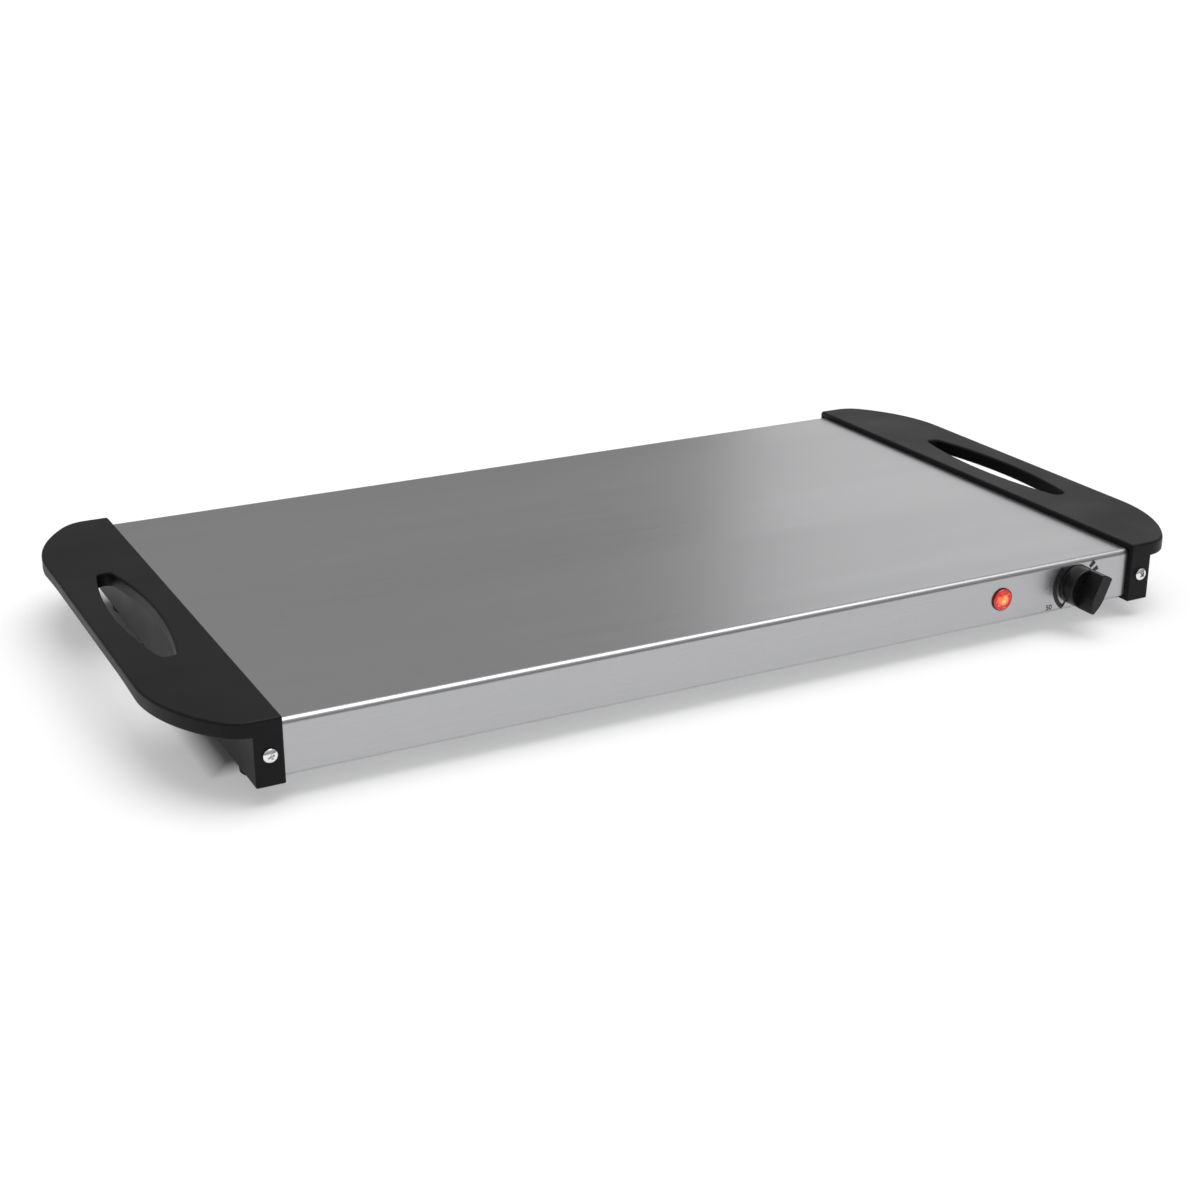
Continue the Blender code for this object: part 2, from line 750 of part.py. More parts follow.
def build_handle_screws():
    """One screw and nut at each end of each handle."""
    screw = screw_mesh("handle_screw", HANDLE_SCREW)
    nut = nut_mesh("handle_nut", NUT_FLATS, NUT_HEIGHT, HANDLE_SCREW[0] + THREAD_GAP)
    for corner, side_x, side_y in CORNERS:
        facing = FACE_FRONT if side_y < 0 else FACE_BACK
        x = side_x * HANDLE_SCREW_X
        seat = Vector((x, side_y * SCREW_SEAT_Y, HANDLE_SCREW_HEIGHT))
        place(f"handle_screw_{corner}", screw, facing, seat, BRIGHT)
        inner = TRAY_FACE_Y - SHEET - GAP - NUT_HEIGHT
        back = Vector((x, side_y * inner, HANDLE_SCREW_HEIGHT))
        place(f"handle_nut_{corner}", nut, facing, back, BRIGHT)


def build_feet():
    """Four round feet, each held by a screw sunk into it from below."""
    top = FOOT_RADIUS
    low = FOOT_RADIUS - FOOT_TAPER
    shank, head, height, _ = FOOT_SCREW
    well = head + GAP
    bore = shank + GAP
    floor = FOOT_FLOOR + height + GAP
    profile = [
        (bore, FOOT_HEIGHT), (top, FOOT_HEIGHT), (low, FOOT_EDGE), (low - FOOT_EDGE, 0),
        (well, 0), (well, floor), (bore, floor)]
    foot = turned("foot", profile, ROUND)
    mesh = foot.data
    bpy.data.objects.remove(foot, do_unlink=True)
    screw = screw_mesh("foot_screw", FOOT_SCREW)
    for corner, side_x, side_y in CORNERS:
        spot = Vector((side_x * FOOT_X, side_y * FOOT_SPACING_Y / 2, 0))
        place(f"foot_{corner}", mesh, FACE_UP, spot, RUBBER)
        seat = spot + Vector((0, 0, FOOT_FLOOR + height))
        place(f"foot_screw_{corner}", screw, FACE_DOWN, seat, BRIGHT)


# Tray


def tray_profile():
    """The folded sheet's outer side as (y, z), from the front flange round to the back one."""
    quarter = math.pi / 2
    low = TRAY_BOTTOM + TRAY_BEND
    high = TRAY_TOP - TRAY_BEND
    side = TRAY_FACE_Y - TRAY_BEND
    half = [(-FLANGE_END_Y, TRAY_BOTTOM)]
    half += arc((-side, low), TRAY_BEND, -quarter, -2 * quarter, FOLD_STEPS)
    half += arc((-side, high), TRAY_BEND, 2 * quarter, quarter, FOLD_STEPS)
    return half + [(-y, z) for y, z in reversed(half)]


def base_screw_places():
    """(x, y) of the screws that hold the cover to the tray's flanges."""
    y = FLANGE_END_Y + (RETURN_FLANGE - TRAY_BEND) / 2
    spread = [(step - (BASE_SCREWS - 1) / 2) * BASE_SCREW_SPACING for step in range(BASE_SCREWS)]
    return [(x, side * y) for side in (-1, 1) for x in spread]


def clamp_places():
    return [(step - (CLAMPS - 1) / 2) * CLAMP_SPACING for step in range(CLAMPS)]


def stud_places():
    """(x, y) of the studs welded under the tray, two for each clamp bar."""
    return [(x, side * ELEMENT_PITCH) for x in clamp_places() for side in (-1, 1)]


def build_tray():
    """The stainless tray, folded from one sheet, with its holes and welded studs."""
    bm = bmesh.new()
    rows = [
        [bm.verts.new((x, y, z)) for y, z in tray_profile()]
        for x in (-TRAY_END_X, TRAY_END_X)]
    for number in range(len(rows[0]) - 1):
        bm.faces.new((rows[0][number], rows[0][number + 1],
                      rows[1][number + 1], rows[1][number]))
    bmesh.ops.recalc_face_normals(bm, faces=bm.faces)
    top = max(bm.faces, key=lambda face: face.calc_center_median().z)
    if top.normal.z < 0:
        bmesh.ops.reverse_faces(bm, faces=bm.faces)
    mesh = bpy.data.meshes.new("top_tray")
    bm.to_mesh(mesh)
    bm.free()
    tray = put("top_tray", mesh)
    fold = tray.modifiers.new("sheet", "SOLIDIFY")
    fold.thickness = SHEET
    fold.offset = -1
    fold.use_even_offset = True
    front = -TRAY_FACE_Y
    bm = bmesh.new()
    add_hole(bm, LAMP_BARREL + GAP, (LAMP_X, front - OVERRUN, CONTROL_HEIGHT),
              (LAMP_X, front + SHEET + OVERRUN, CONTROL_HEIGHT))
    add_hole(bm, BUSH_RADIUS + GAP, (KNOB_X, front - OVERRUN, CONTROL_HEIGHT),
              (KNOB_X, front + SHEET + OVERRUN, CONTROL_HEIGHT))
    add_hole(bm, GLAND_RADIUS + GAP, (GLAND_X, -front + OVERRUN, CONTROL_HEIGHT),
              (GLAND_X, -front - SHEET - OVERRUN, CONTROL_HEIGHT))
    add_hole(bm, EARTH_SCREW[0] + GAP, (EARTH_X, -front + OVERRUN, CONTROL_HEIGHT),
              (EARTH_X, -front - SHEET - OVERRUN, CONTROL_HEIGHT), ROUND_SMALL)
    for _, side_x, side_y in CORNERS:
        x = side_x * HANDLE_SCREW_X
        add_hole(bm, HANDLE_SCREW[0] + GAP,
                  (x, side_y * (TRAY_FACE_Y + OVERRUN), HANDLE_SCREW_HEIGHT),
                  (x, side_y * (TRAY_FACE_Y - SHEET - OVERRUN), HANDLE_SCREW_HEIGHT),
                  ROUND_SMALL)
    for x, y in base_screw_places():
        add_hole(bm, BASE_SCREW[0] + THREAD_GAP, (x, y, TRAY_BOTTOM - OVERRUN),
                  (x, y, TRAY_BOTTOM + SHEET + OVERRUN), ROUND_SMALL)
    holes = put("tray_holes", mesh_from(bm, "tray_holes"), True)
    bm = bmesh.new()
    for x, y in stud_places():
        add_round(bm, STUD_RADIUS, (x, y, STUD_BOTTOM), (x, y, TRAY_UNDER + SHEET / 2), ROUND_SMALL)
    studs = put("tray_studs", mesh_from(bm, "tray_studs"), True)
    boolean(tray, holes)
    boolean(tray, studs, "UNION")
    finish(tray, STEEL)


# Base cover


def vent_outline(length, width, centre):
    """A round-ended slot along Y."""
    radius = width / 2
    half = length / 2 - radius
    x, y = centre
    return (arc((x, y + half), radius, 0, math.pi, CORNER_STEPS)
            + arc((x, y - half), radius, math.pi, 2 * math.pi, CORNER_STEPS))


def build_base_cover():
    """The bottom sheet: a raised middle panel with vents, and notches round the foot lugs."""
    half_x = INNER_X - GAP - BRACKET_INSET
    half_y = TRAY_FACE_Y - COVER_EDGE_GAP
    bm = bmesh.new()
    levels = [(0, 0), (PANEL_MARGIN, 0), (PANEL_MARGIN + PANEL_SLOPE, PANEL_RISE)]
    loops = []
    for inset, rise in levels:
        ring = rounded_rectangle(
            (-half_x + inset, -half_y + inset), (half_x - inset, half_y - inset), COVER_CORNER)
        loops.append([bm.verts.new((x, y, COVER_TOP + rise)) for x, y in ring])
    for outer, inner in zip(loops, loops[1:]):
        for step in range(len(outer)):
            after = (step + 1) % len(outer)
            bm.faces.new((outer[step], outer[after], inner[after], inner[step]))
    bm.faces.new(loops[-1])
    bmesh.ops.recalc_face_normals(bm, faces=bm.faces)
    if sum(face.normal.z for face in bm.faces) < 0:
        bmesh.ops.reverse_faces(bm, faces=bm.faces)
    mesh = bpy.data.meshes.new("base_cover")
    bm.to_mesh(mesh)
    bm.free()
    cover = put("base_cover", mesh)
    sheet = cover.modifiers.new("sheet", "SOLIDIFY")
    sheet.thickness = COVER_SHEET
    sheet.offset = -1
    sheet.use_even_offset = True
    low = COVER_TOP - COVER_SHEET - OVERRUN
    high = COVER_TOP + PANEL_RISE + OVERRUN
    bm = bmesh.new()
    for x, y in base_screw_places():
        add_hole(bm, BASE_SCREW[0] + GAP, (x, y, low), (x, y, high), ROUND_SMALL)
    for _, side_x, side_y in CORNERS:
        x, y = side_x * FOOT_X, side_y * FOOT_SPACING_Y / 2
        add_hole(bm, LUG_RADIUS + GAP, (x, y, low), (x, y, high))
    add_hole(bm, BLOCK_SCREW[0] + THREAD_GAP, (GLAND_X, BLOCK_Y, low),
              (GLAND_X, BLOCK_Y, high), ROUND_SMALL)
    holes = put("cover_holes", mesh_from(bm, "cover_holes"), True)
    boolean(cover, holes)
    outlines = []
    for group in (-1, 1):
        for vent in range(VENTS):
            x = group * VENT_GROUP_X + (vent - (VENTS - 1) / 2) * VENT_PITCH
            outlines.append(vent_outline(VENT_LENGTH, VENT_WIDTH, (x, 0)))
    vents = put("cover_vents", plate_mesh("cover_vents", outlines, low, high), True)
    boolean(cover, vents)
    finish(cover, COVER_STEEL)


def build_base_screws():
    """Screws up through the cover into the tray's flanges."""
    screw = screw_mesh("base_screw", BASE_SCREW)
    for number, (x, y) in enumerate(base_screw_places(), 1):
        seat = Vector((x, y, COVER_TOP - COVER_SHEET - THREAD_GAP))
        place(f"base_screw_{number}", screw, FACE_DOWN, seat, BRIGHT)


# Heating


def build_spreader():
    """Aluminium plate that spreads the element's heat under the tray's top."""
    edge = rounded_rectangle(
        (-SPREADER_LENGTH / 2, -SPREADER_DEPTH / 2), (SPREADER_LENGTH / 2, SPREADER_DEPTH / 2),
        SPREADER_CORNER)
    holes = [hole(STUD_RADIUS + GAP, ROUND_SMALL, spot) for spot in stud_places()]
    mesh = plate_mesh("heat_spreader", [edge, *holes], SPREADER_TOP - SPREADER_SHEET, SPREADER_TOP)
    finish(put("heat_spreader", mesh), ALUMINIUM)


def tube(name, points, radius, finish_material):
    """A round rod or wire along a line of points."""
    curve = bpy.data.curves.new(name, "CURVE")
    curve.dimensions = "3D"
    curve.fill_mode = "FULL"
    curve.bevel_depth = radius
    curve.bevel_resolution = TUBE_RESOLUTION
    curve.use_fill_caps = True
    spline = curve.splines.new("POLY")
    spline.points.add(len(points) - 1)
    for point, place_on_line in zip(spline.points, points):
        point.co = (*place_on_line, 1)
    obj = bpy.data.objects.new(name, curve)
    parts.objects.link(obj)
    curve.materials.append(finish_material)
    obj.parent = server
    return obj


def element_route():
    """Centre line of the element: straight legs joined by half-round bends."""
    half = ELEMENT_LEG / 2
    radius = ELEMENT_PITCH / 2
    first = -(ELEMENT_LEGS - 1) / 2 * ELEMENT_PITCH
    quarter = math.pi / 2
    route = [(half + ELEMENT_TAIL, first)]
    for leg in range(ELEMENT_LEGS - 1):
        side = -1 if leg % 2 == 0 else 1
        centre = (side * half, first + (leg + 0.5) * ELEMENT_PITCH)
        if side < 0:
            route += arc(centre, radius, -quarter, -3 * quarter, BEND_STEPS)
        else:
            route += arc(centre, radius, -quarter, quarter, BEND_STEPS)
    route.append((half + ELEMENT_TAIL, -first))
    return [(x, y, ELEMENT_Z) for x, y in route]


def build_element():
    """Tubular heating element with a bead and pin at each end."""
    route = element_route()
    tube("heating_element", route, ELEMENT_RADIUS, SHEATH)
    profile = [
        (0, TERMINAL_BEAD + TERMINAL_PIN), (PIN_RADIUS, TERMINAL_BEAD + TERMINAL_PIN),
        (PIN_RADIUS, TERMINAL_BEAD), (ELEMENT_RADIUS - GAP, TERMINAL_BEAD - TERMINAL_SHOULDER),
        (ELEMENT_RADIUS - GAP, 0), (0, 0)]
    terminal = turned("element_terminal", profile, ROUND_SMALL)
    mesh = terminal.data
    bpy.data.objects.remove(terminal, do_unlink=True)
    facing = Matrix.Rotation(math.pi / 2, 4, "Y")
    for name, end in (("front", route[0]), ("back", route[-1])):
        seat = Vector(end) + Vector((GAP, 0, 0))
        place(f"element_terminal_{name}", mesh, facing, seat, CERAMIC)


def build_clamps():
    """Bars under the element, each held by two nuts on the tray's studs."""
    half = ELEMENT_PITCH * (ELEMENT_LEGS - 1) / 2 + CLAMP_END
    nut = nut_mesh("clamp_nut", NUT_FLATS, NUT_HEIGHT, STUD_RADIUS + THREAD_GAP)
    for number, x in enumerate(clamp_places(), 1):
        edge = rounded_rectangle(
            (x - CLAMP_WIDTH / 2, -half), (x + CLAMP_WIDTH / 2, half), CLAMP_CORNER)
        holes = [hole(STUD_RADIUS + GAP, ROUND_SMALL, (x, side * ELEMENT_PITCH))
                 for side in (-1, 1)]
        name = f"clamp_bar_{number}"
        mesh = plate_mesh(name, [edge, *holes], CLAMP_TOP - CLAMP_SHEET, CLAMP_TOP)
        finish(put(name, mesh), COVER_STEEL)
    for number, (x, y) in enumerate(stud_places(), 1):
        seat = Vector((x, y, CLAMP_NUT_TOP - NUT_HEIGHT))
        place(f"clamp_nut_{number}", nut, FACE_UP, seat, BRIGHT)


def build_cutout():
    """Bimetal safety disc held between the spreader and the right-hand clamp bar."""
    low = CLAMP_TOP + GAP
    high = ELEMENT_TOP
    shoulder = high - (high - low) * CUTOUT_CAP_SHARE
    cap = CUTOUT_RADIUS - CUTOUT_LIP
    profile = [
        (0, high), (cap, high), (cap, shoulder), (CUTOUT_RADIUS, shoulder),
        (CUTOUT_RADIUS, low), (0, low)]
    cutout = turned("thermal_cutout", profile, ROUND)
    finish(cutout, CERAMIC)
    cutout.location = (clamp_places()[-1], 0, 0)


def build_mat():
    """Fibre mat that lies on the base cover and keeps the heat from the table."""
    low = COVER_TOP + PANEL_RISE + GAP
    edge = rounded_rectangle(
        (-MAT_LENGTH / 2, -MAT_DEPTH / 2), (MAT_LENGTH / 2, MAT_DEPTH / 2), MAT_CORNER)
    mesh = plate_mesh("insulation_mat", [edge], low, low + MAT_THICK)
    finish(put("insulation_mat", mesh), FIBRE)


# Controls


def grip_outline():
    """The knob's finger grip: parallel sides that sweep together to a narrow nose."""
    length = KNOB_RADIUS
    half = GRIP_HALF_WIDTH
    nose = GRIP_NOSE
    sag = half - nose
    radius = (length ** 2 + sag ** 2) / (2 * sag)
    spread = math.asin(length / radius)
    flank = arc((half - radius, 0), radius, 0, -spread, GRIP_STEPS)
    wide = math.sqrt(length ** 2 - half ** 2)
    top = arc((0, 0), length, math.atan2(wide, half), math.atan2(wide, -half), GRIP_STEPS)
    left = [(-x, y) for x, y in flank]
    return top + left + flank[::-1]


def build_knob():
    """Pointer knob: round skirt, raised finger grip, hollow back and a bore for the spindle."""
    hollow = KNOB_RADIUS - KNOB_WALL
    boss = SPINDLE_RADIUS + KNOB_WALL
    bore = SPINDLE_RADIUS + SPINDLE_CLEARANCE
    skirt = KNOB_RADIUS - KNOB_DRAFT
    profile = [
        (0, KNOB_SKIRT - KNOB_BEAD), (skirt - 2 * KNOB_BEAD, KNOB_SKIRT - KNOB_BEAD),
        (skirt - KNOB_BEAD, KNOB_SKIRT), (skirt, KNOB_SKIRT - KNOB_BEAD / 2),
        (KNOB_RADIUS, 0), (hollow, 0), (hollow, KNOB_HOLLOW), (boss, KNOB_HOLLOW),
        (boss, BUSH_FRONT + GAP + KNOB_GAP), (0, BUSH_FRONT + GAP + KNOB_GAP)]
    knob = turned("knob", profile, ROUND_FINE)
    grip_low = KNOB_SKIRT - 2 * KNOB_BEAD
    mesh = plate_mesh("knob_grip", [grip_outline()], grip_low, KNOB_LENGTH)
    bevelled(mesh, GRIP_EDGE, EDGE_STEPS, at_height(KNOB_LENGTH))
    mesh.transform(Matrix.Rotation(-GRIP_TURN, 4, "Z"))
    grip = put("knob_grip", mesh, True)
    bm = bmesh.new()
    add_hole(bm, bore, (0, 0, -OVERRUN), (0, 0, KNOB_BORE))
    bore_cutter = put("knob_bore", mesh_from(bm, "knob_bore"), True)
    flat = bore - SPINDLE_FLAT
    flat_mesh = box_mesh("knob_bore_flat", (-2 * bore, flat, -2 * OVERRUN),
                         (2 * bore, 2 * bore, KNOB_BORE + OVERRUN))
    flat_cutter = put("knob_bore_flat", flat_mesh, True)
    for helper in (grip, bore_cutter, flat_cutter):
        helper.parent = None
    boolean(bore_cutter, flat_cutter)
    boolean(knob, grip, "UNION")
    boolean(knob, bore_cutter)
    baked(knob)
    finish(knob, KNOB_BLACK)
    seat = Vector((KNOB_X, -TRAY_FACE_Y - KNOB_GAP, CONTROL_HEIGHT))
    knob.matrix_local = Matrix.Translation(seat) @ FACE_FRONT


def build_thermostat():
    """Thermostat: bracket with a threaded bush, ceramic body, nut under the knob, spindle."""
    inner = -TRAY_FACE_Y + SHEET + GAP
    seat = Vector((KNOB_X, 0, CONTROL_HEIGHT))
    outline = rounded_rectangle(
        (-THERMOSTAT_WIDTH / 2, -THERMOSTAT_HEIGHT / 2),
        (THERMOSTAT_WIDTH / 2, THERMOSTAT_HEIGHT / 2), THERMOSTAT_EDGE)
    bush_length = inner + TRAY_FACE_Y + BUSH_FRONT
    plate = plate_mesh("thermostat_bracket", [outline], -BRACKET_SHEET, 0)
    bracket = put("thermostat_bracket", plate)
    bush_mesh = round_mesh("thermostat_bush", BUSH_RADIUS, (0, 0, -BRACKET_SHEET / 2),
                           (0, 0, bush_length))
    bush = put("thermostat_bush", bush_mesh, True)
    bm = bmesh.new()
    add_hole(bm, SPINDLE_RADIUS + SPINDLE_CLEARANCE,
             (0, 0, -BRACKET_SHEET - OVERRUN), (0, 0, bush_length + OVERRUN))
    bore = put("bush_bore", mesh_from(bm, "bush_bore"), True)
    bush.parent = None
    bore.parent = None
    boolean(bracket, bush, "UNION")
    boolean(bracket, bore)
    baked(bracket)
    finish(bracket, COVER_STEEL)
    bracket.matrix_local = Matrix.Translation(seat + Vector((0, inner, 0))) @ FACE_FRONT

    body_front = -BRACKET_SHEET - GAP
    body_mesh = plate_mesh("thermostat_body", [outline], body_front - THERMOSTAT_DEPTH, body_front)
    bevelled(body_mesh, THERMOSTAT_EDGE, 1, at_height(body_front - THERMOSTAT_DEPTH))
    body = put("thermostat_body", body_mesh)
    bm = bmesh.new()
    socket_floor = body_front - 2 * SPINDLE_COLLAR_HEIGHT
    socket = SPINDLE_RADIUS + SPINDLE_COLLAR + GAP
    add_round(bm, socket, (0, 0, socket_floor), (0, 0, body_front + OVERRUN))
    well = put("thermostat_socket", mesh_from(bm, "thermostat_socket"), True)
    well.parent = None
    boolean(body, well)
    tab_low = body_front - THERMOSTAT_DEPTH - THERMOSTAT_TAB
    tab_high = body_front - THERMOSTAT_DEPTH + OVERRUN
    bm = bmesh.new()
    for side in (-1, 1):
        x = side * THERMOSTAT_TAB_SPACING / 2
        add_box(bm, (x - THERMOSTAT_TAB_THICK / 2, -THERMOSTAT_TAB / 2, tab_low),
                (x + THERMOSTAT_TAB_THICK / 2, THERMOSTAT_TAB / 2, tab_high))
    tabs = put("thermostat_tabs", mesh_from(bm, "thermostat_tabs"), True)
    tabs.parent = None
    boolean(body, tabs, "UNION")
    baked(body)
    finish(body, CERAMIC)
    body.matrix_local = Matrix.Translation(seat + Vector((0, inner, 0))) @ FACE_FRONT

    nut = nut_mesh("thermostat_nut", BUSH_NUT_FLATS, BUSH_NUT_HEIGHT, BUSH_RADIUS + THREAD_GAP)
    nut_seat = seat + Vector((0, -TRAY_FACE_Y - GAP, 0))
    place("thermostat_nut", nut, FACE_FRONT, nut_seat, BRIGHT)

    start = body_front - SPINDLE_COLLAR_HEIGHT - GAP
    collar_top = body_front - GAP
    front = TRAY_FACE_Y + inner + KNOB_GAP + KNOB_BORE - GAP
    collar = SPINDLE_RADIUS + SPINDLE_COLLAR
    profile = [
        (0, front), (SPINDLE_RADIUS, front), (SPINDLE_RADIUS, collar_top),
        (collar, collar_top), (collar, start), (0, start)]
    spindle = turned("thermostat_spindle", profile, ROUND)
    flat_low = bush_length + GAP
    flat = SPINDLE_RADIUS - SPINDLE_FLAT
    flat_mesh = box_mesh("spindle_flat", (-2 * SPINDLE_RADIUS, flat, flat_low),
                         (2 * SPINDLE_RADIUS, 2 * SPINDLE_RADIUS, front + OVERRUN))
    flat_cutter = put("spindle_flat", flat_mesh, True)
    flat_cutter.parent = None
    boolean(spindle, flat_cutter)
    baked(spindle)
    finish(spindle, BRASS)
    spindle.matrix_local = Matrix.Translation(seat + Vector((0, inner, 0))) @ FACE_FRONT


def build_lamp():
    """Indicator lamp: red lens whose barrel passes the tray, base with bulb, and a clip."""
    seat = Vector((LAMP_X, -TRAY_FACE_Y, CONTROL_HEIGHT))
    flange = LAMP_FLANGE + GAP
    inner = LAMP_BARREL - LAMP_WALL
    profile = [(LAMP_RADIUS * out, flange + LAMP_DOME * up) for out, up in LAMP_DOME_SHARES]
    profile += [
        (LAMP_RADIUS, flange - LAMP_EDGE), (LAMP_RADIUS, GAP), (LAMP_BARREL, GAP),
        (LAMP_BARREL, -LAMP_BARREL_DEPTH), (inner, -LAMP_BARREL_DEPTH), (inner, 0), (0, 0)]
    lens = turned("lamp_lens", profile, ROUND)
    finish(lens, RED_LENS)
    lens.matrix_local = Matrix.Translation(seat) @ FACE_FRONT

    plug = inner - GAP
    face = -LAMP_BARREL_DEPTH - GAP
    end = face - LAMP_BASE_DEPTH
    socket = BULB_RADIUS + GAP
    profile = [
        (socket, face + LAMP_WALL), (plug, face + LAMP_WALL), (plug, face), (LAMP_BARREL, face),
        (LAMP_BARREL - LAMP_BASE_TAPER, end), (socket, end)]
    base = turned("lamp_base", profile, ROUND)
    finish(base, NYLON)
    base.matrix_local = Matrix.Translation(seat) @ FACE_FRONT

    tip = face + LAMP_WALL + BULB_REACH
    tail = tip - BULB_LENGTH
    profile = dome(BULB_RADIUS, BULB_RADIUS, tip - BULB_RADIUS) + [(BULB_RADIUS, tail), (0, tail)]
    bulb = turned("lamp_bulb", profile, ROUND_SMALL)
    finish(bulb, BULB_GLASS)
    bulb.matrix_local = Matrix.Translation(seat) @ FACE_FRONT

    outlines = [circle(LAMP_BARREL + LAMP_CLIP, ROUND), hole(LAMP_BARREL + THREAD_GAP, ROUND)]
    clip = plate_mesh("lamp_clip", outlines, -LAMP_CLIP_SHEET, 0)
    clip_seat = seat + Vector((0, SHEET + GAP, 0))
    place("lamp_clip", clip, FACE_FRONT, clip_seat, COVER_STEEL)


# Mains inlet


def build_inlet():
    """Bush in the back face for the mains cord, with the clip that locks it inside."""
    seat = Vector((GLAND_X, TRAY_FACE_Y, CONTROL_HEIGHT))
    rim = GLAND_RADIUS + GLAND_FLANGE
    face = GAP + GLAND_FLANGE_HEIGHT
    profile = [
        (GLAND_BORE + GLAND_EDGE, face), (rim - GLAND_EDGE, face), (rim, face - GLAND_EDGE),
        (rim, GAP), (GLAND_RADIUS, GAP), (GLAND_RADIUS, -GLAND_DEPTH),
        (GLAND_BORE, -GLAND_DEPTH), (GLAND_BORE, face - GLAND_EDGE)]
    gland = turned("cord_gland", profile, ROUND)
    finish(gland, NYLON)
    gland.matrix_local = Matrix.Translation(seat) @ FACE_BACK
    outlines = [circle(rim, ROUND), hole(GLAND_RADIUS + THREAD_GAP, ROUND)]
    clip = plate_mesh("gland_clip", outlines, -GLAND_CLIP_SHEET, 0)
    clip_seat = seat - Vector((0, SHEET + GAP, 0))
    place("gland_clip", clip, FACE_BACK, clip_seat, COVER_STEEL)


def build_terminal_block():
    """Ceramic block with three ways, screwed to the cover beside the inlet."""
    low = COVER_TOP + PANEL_RISE + GAP
    half_x, half_y = BLOCK_LENGTH / 2, BLOCK_DEPTH / 2
    outline = rounded_rectangle((-half_x, -half_y), (half_x, half_y), BLOCK_EDGE, EDGE_STEPS)
    mesh = plate_mesh("terminal_block", [outline], 0, BLOCK_HEIGHT)
    bevelled(mesh, BLOCK_EDGE, 1, at_height(BLOCK_HEIGHT))
    block = put("terminal_block", mesh)
    bm = bmesh.new()
    for way in range(BLOCK_WAYS):
        x = (way - (BLOCK_WAYS - 1) / 2) * BLOCK_LENGTH / BLOCK_WAYS
        if way != (BLOCK_WAYS - 1) / 2:
            add_round(bm, BLOCK_WAY_RADIUS, (x, 0, BLOCK_HEIGHT - BLOCK_WAY_DEPTH),
                      (x, 0, BLOCK_HEIGHT + OVERRUN), ROUND_SMALL)
    add_round(bm, BLOCK_SCREW[1] + GAP, (0, 0, BLOCK_SCREW_SEAT),
              (0, 0, BLOCK_HEIGHT + OVERRUN), ROUND_SMALL)
    cuts = put("block_cuts", mesh_from(bm, "block_cuts"), True)
    bore_top = (0, 0, BLOCK_SCREW_SEAT + OVERRUN)
    bore_mesh = round_mesh(
        "block_bore", BLOCK_SCREW[0] + GAP, (0, 0, -OVERRUN), bore_top, ROUND_SMALL)
    bore = put("block_bore", bore_mesh, True)
    cuts.parent = None
    bore.parent = None
    boolean(block, cuts)
    boolean(block, bore)
    baked(block)
    finish(block, CERAMIC)
    block.location = (GLAND_X, BLOCK_Y, low)
    screw = screw_mesh("block_screw", BLOCK_SCREW)
    seat = Vector((GLAND_X, BLOCK_Y, low + BLOCK_SCREW_SEAT + THREAD_GAP))
    place("block_screw", screw, FACE_UP, seat, BRIGHT)


def build_earth():
    """Earth screw through the back face, with a ring tag and a nut inside."""
    seat = Vector((EARTH_X, TRAY_FACE_Y, CONTROL_HEIGHT))
    screw = screw_mesh("earth_screw", EARTH_SCREW)
    place("earth_screw", screw, FACE_BACK, seat + Vector((0, THREAD_GAP, 0)), BRIGHT)
    inner = seat - Vector((0, SHEET + GAP, 0))
    neck = EARTH_TAG_NECK / 2
    meet = math.asin(neck / EARTH_TAG_RADIUS)
    quarter = math.pi / 2
    ring = arc((0, 0), EARTH_TAG_RADIUS, meet - quarter, 3 * quarter - meet, TAG_STEPS)
    outline = ring + [(-neck, -EARTH_TAG_LENGTH), (neck, -EARTH_TAG_LENGTH)]
    eye = hole(EARTH_SCREW[0] + GAP, ROUND_SMALL)
    tag = plate_mesh("earth_tag", [outline, eye], -EARTH_TAG_SHEET, 0)
    place("earth_tag", tag, FACE_BACK, inner, BRASS)
    nut = nut_mesh("earth_nut", NUT_FLATS, NUT_HEIGHT, EARTH_SCREW[0] + THREAD_GAP)
    behind = inner - Vector((0, EARTH_TAG_SHEET + GAP + NUT_HEIGHT, 0))
    place("earth_nut", nut, FACE_BACK, behind, BRIGHT)


build_handles()
build_handle_screws()
build_feet()
build_tray()
build_base_cover()
build_base_screws()
build_spreader()
build_element()
build_clamps()
build_cutout()
build_mat()
build_knob()
build_thermostat()
build_lamp()
build_inlet()
build_terminal_block()
build_earth()
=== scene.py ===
# %% [markdown]
# # Dressing a buffet server
# The solids of the server are loaded first, with one empty for each body that moves.
# Every piece of this lesson is then modelled in metres in the same space, so that it lands where the solid
# is.

# %% Load the solids
import math

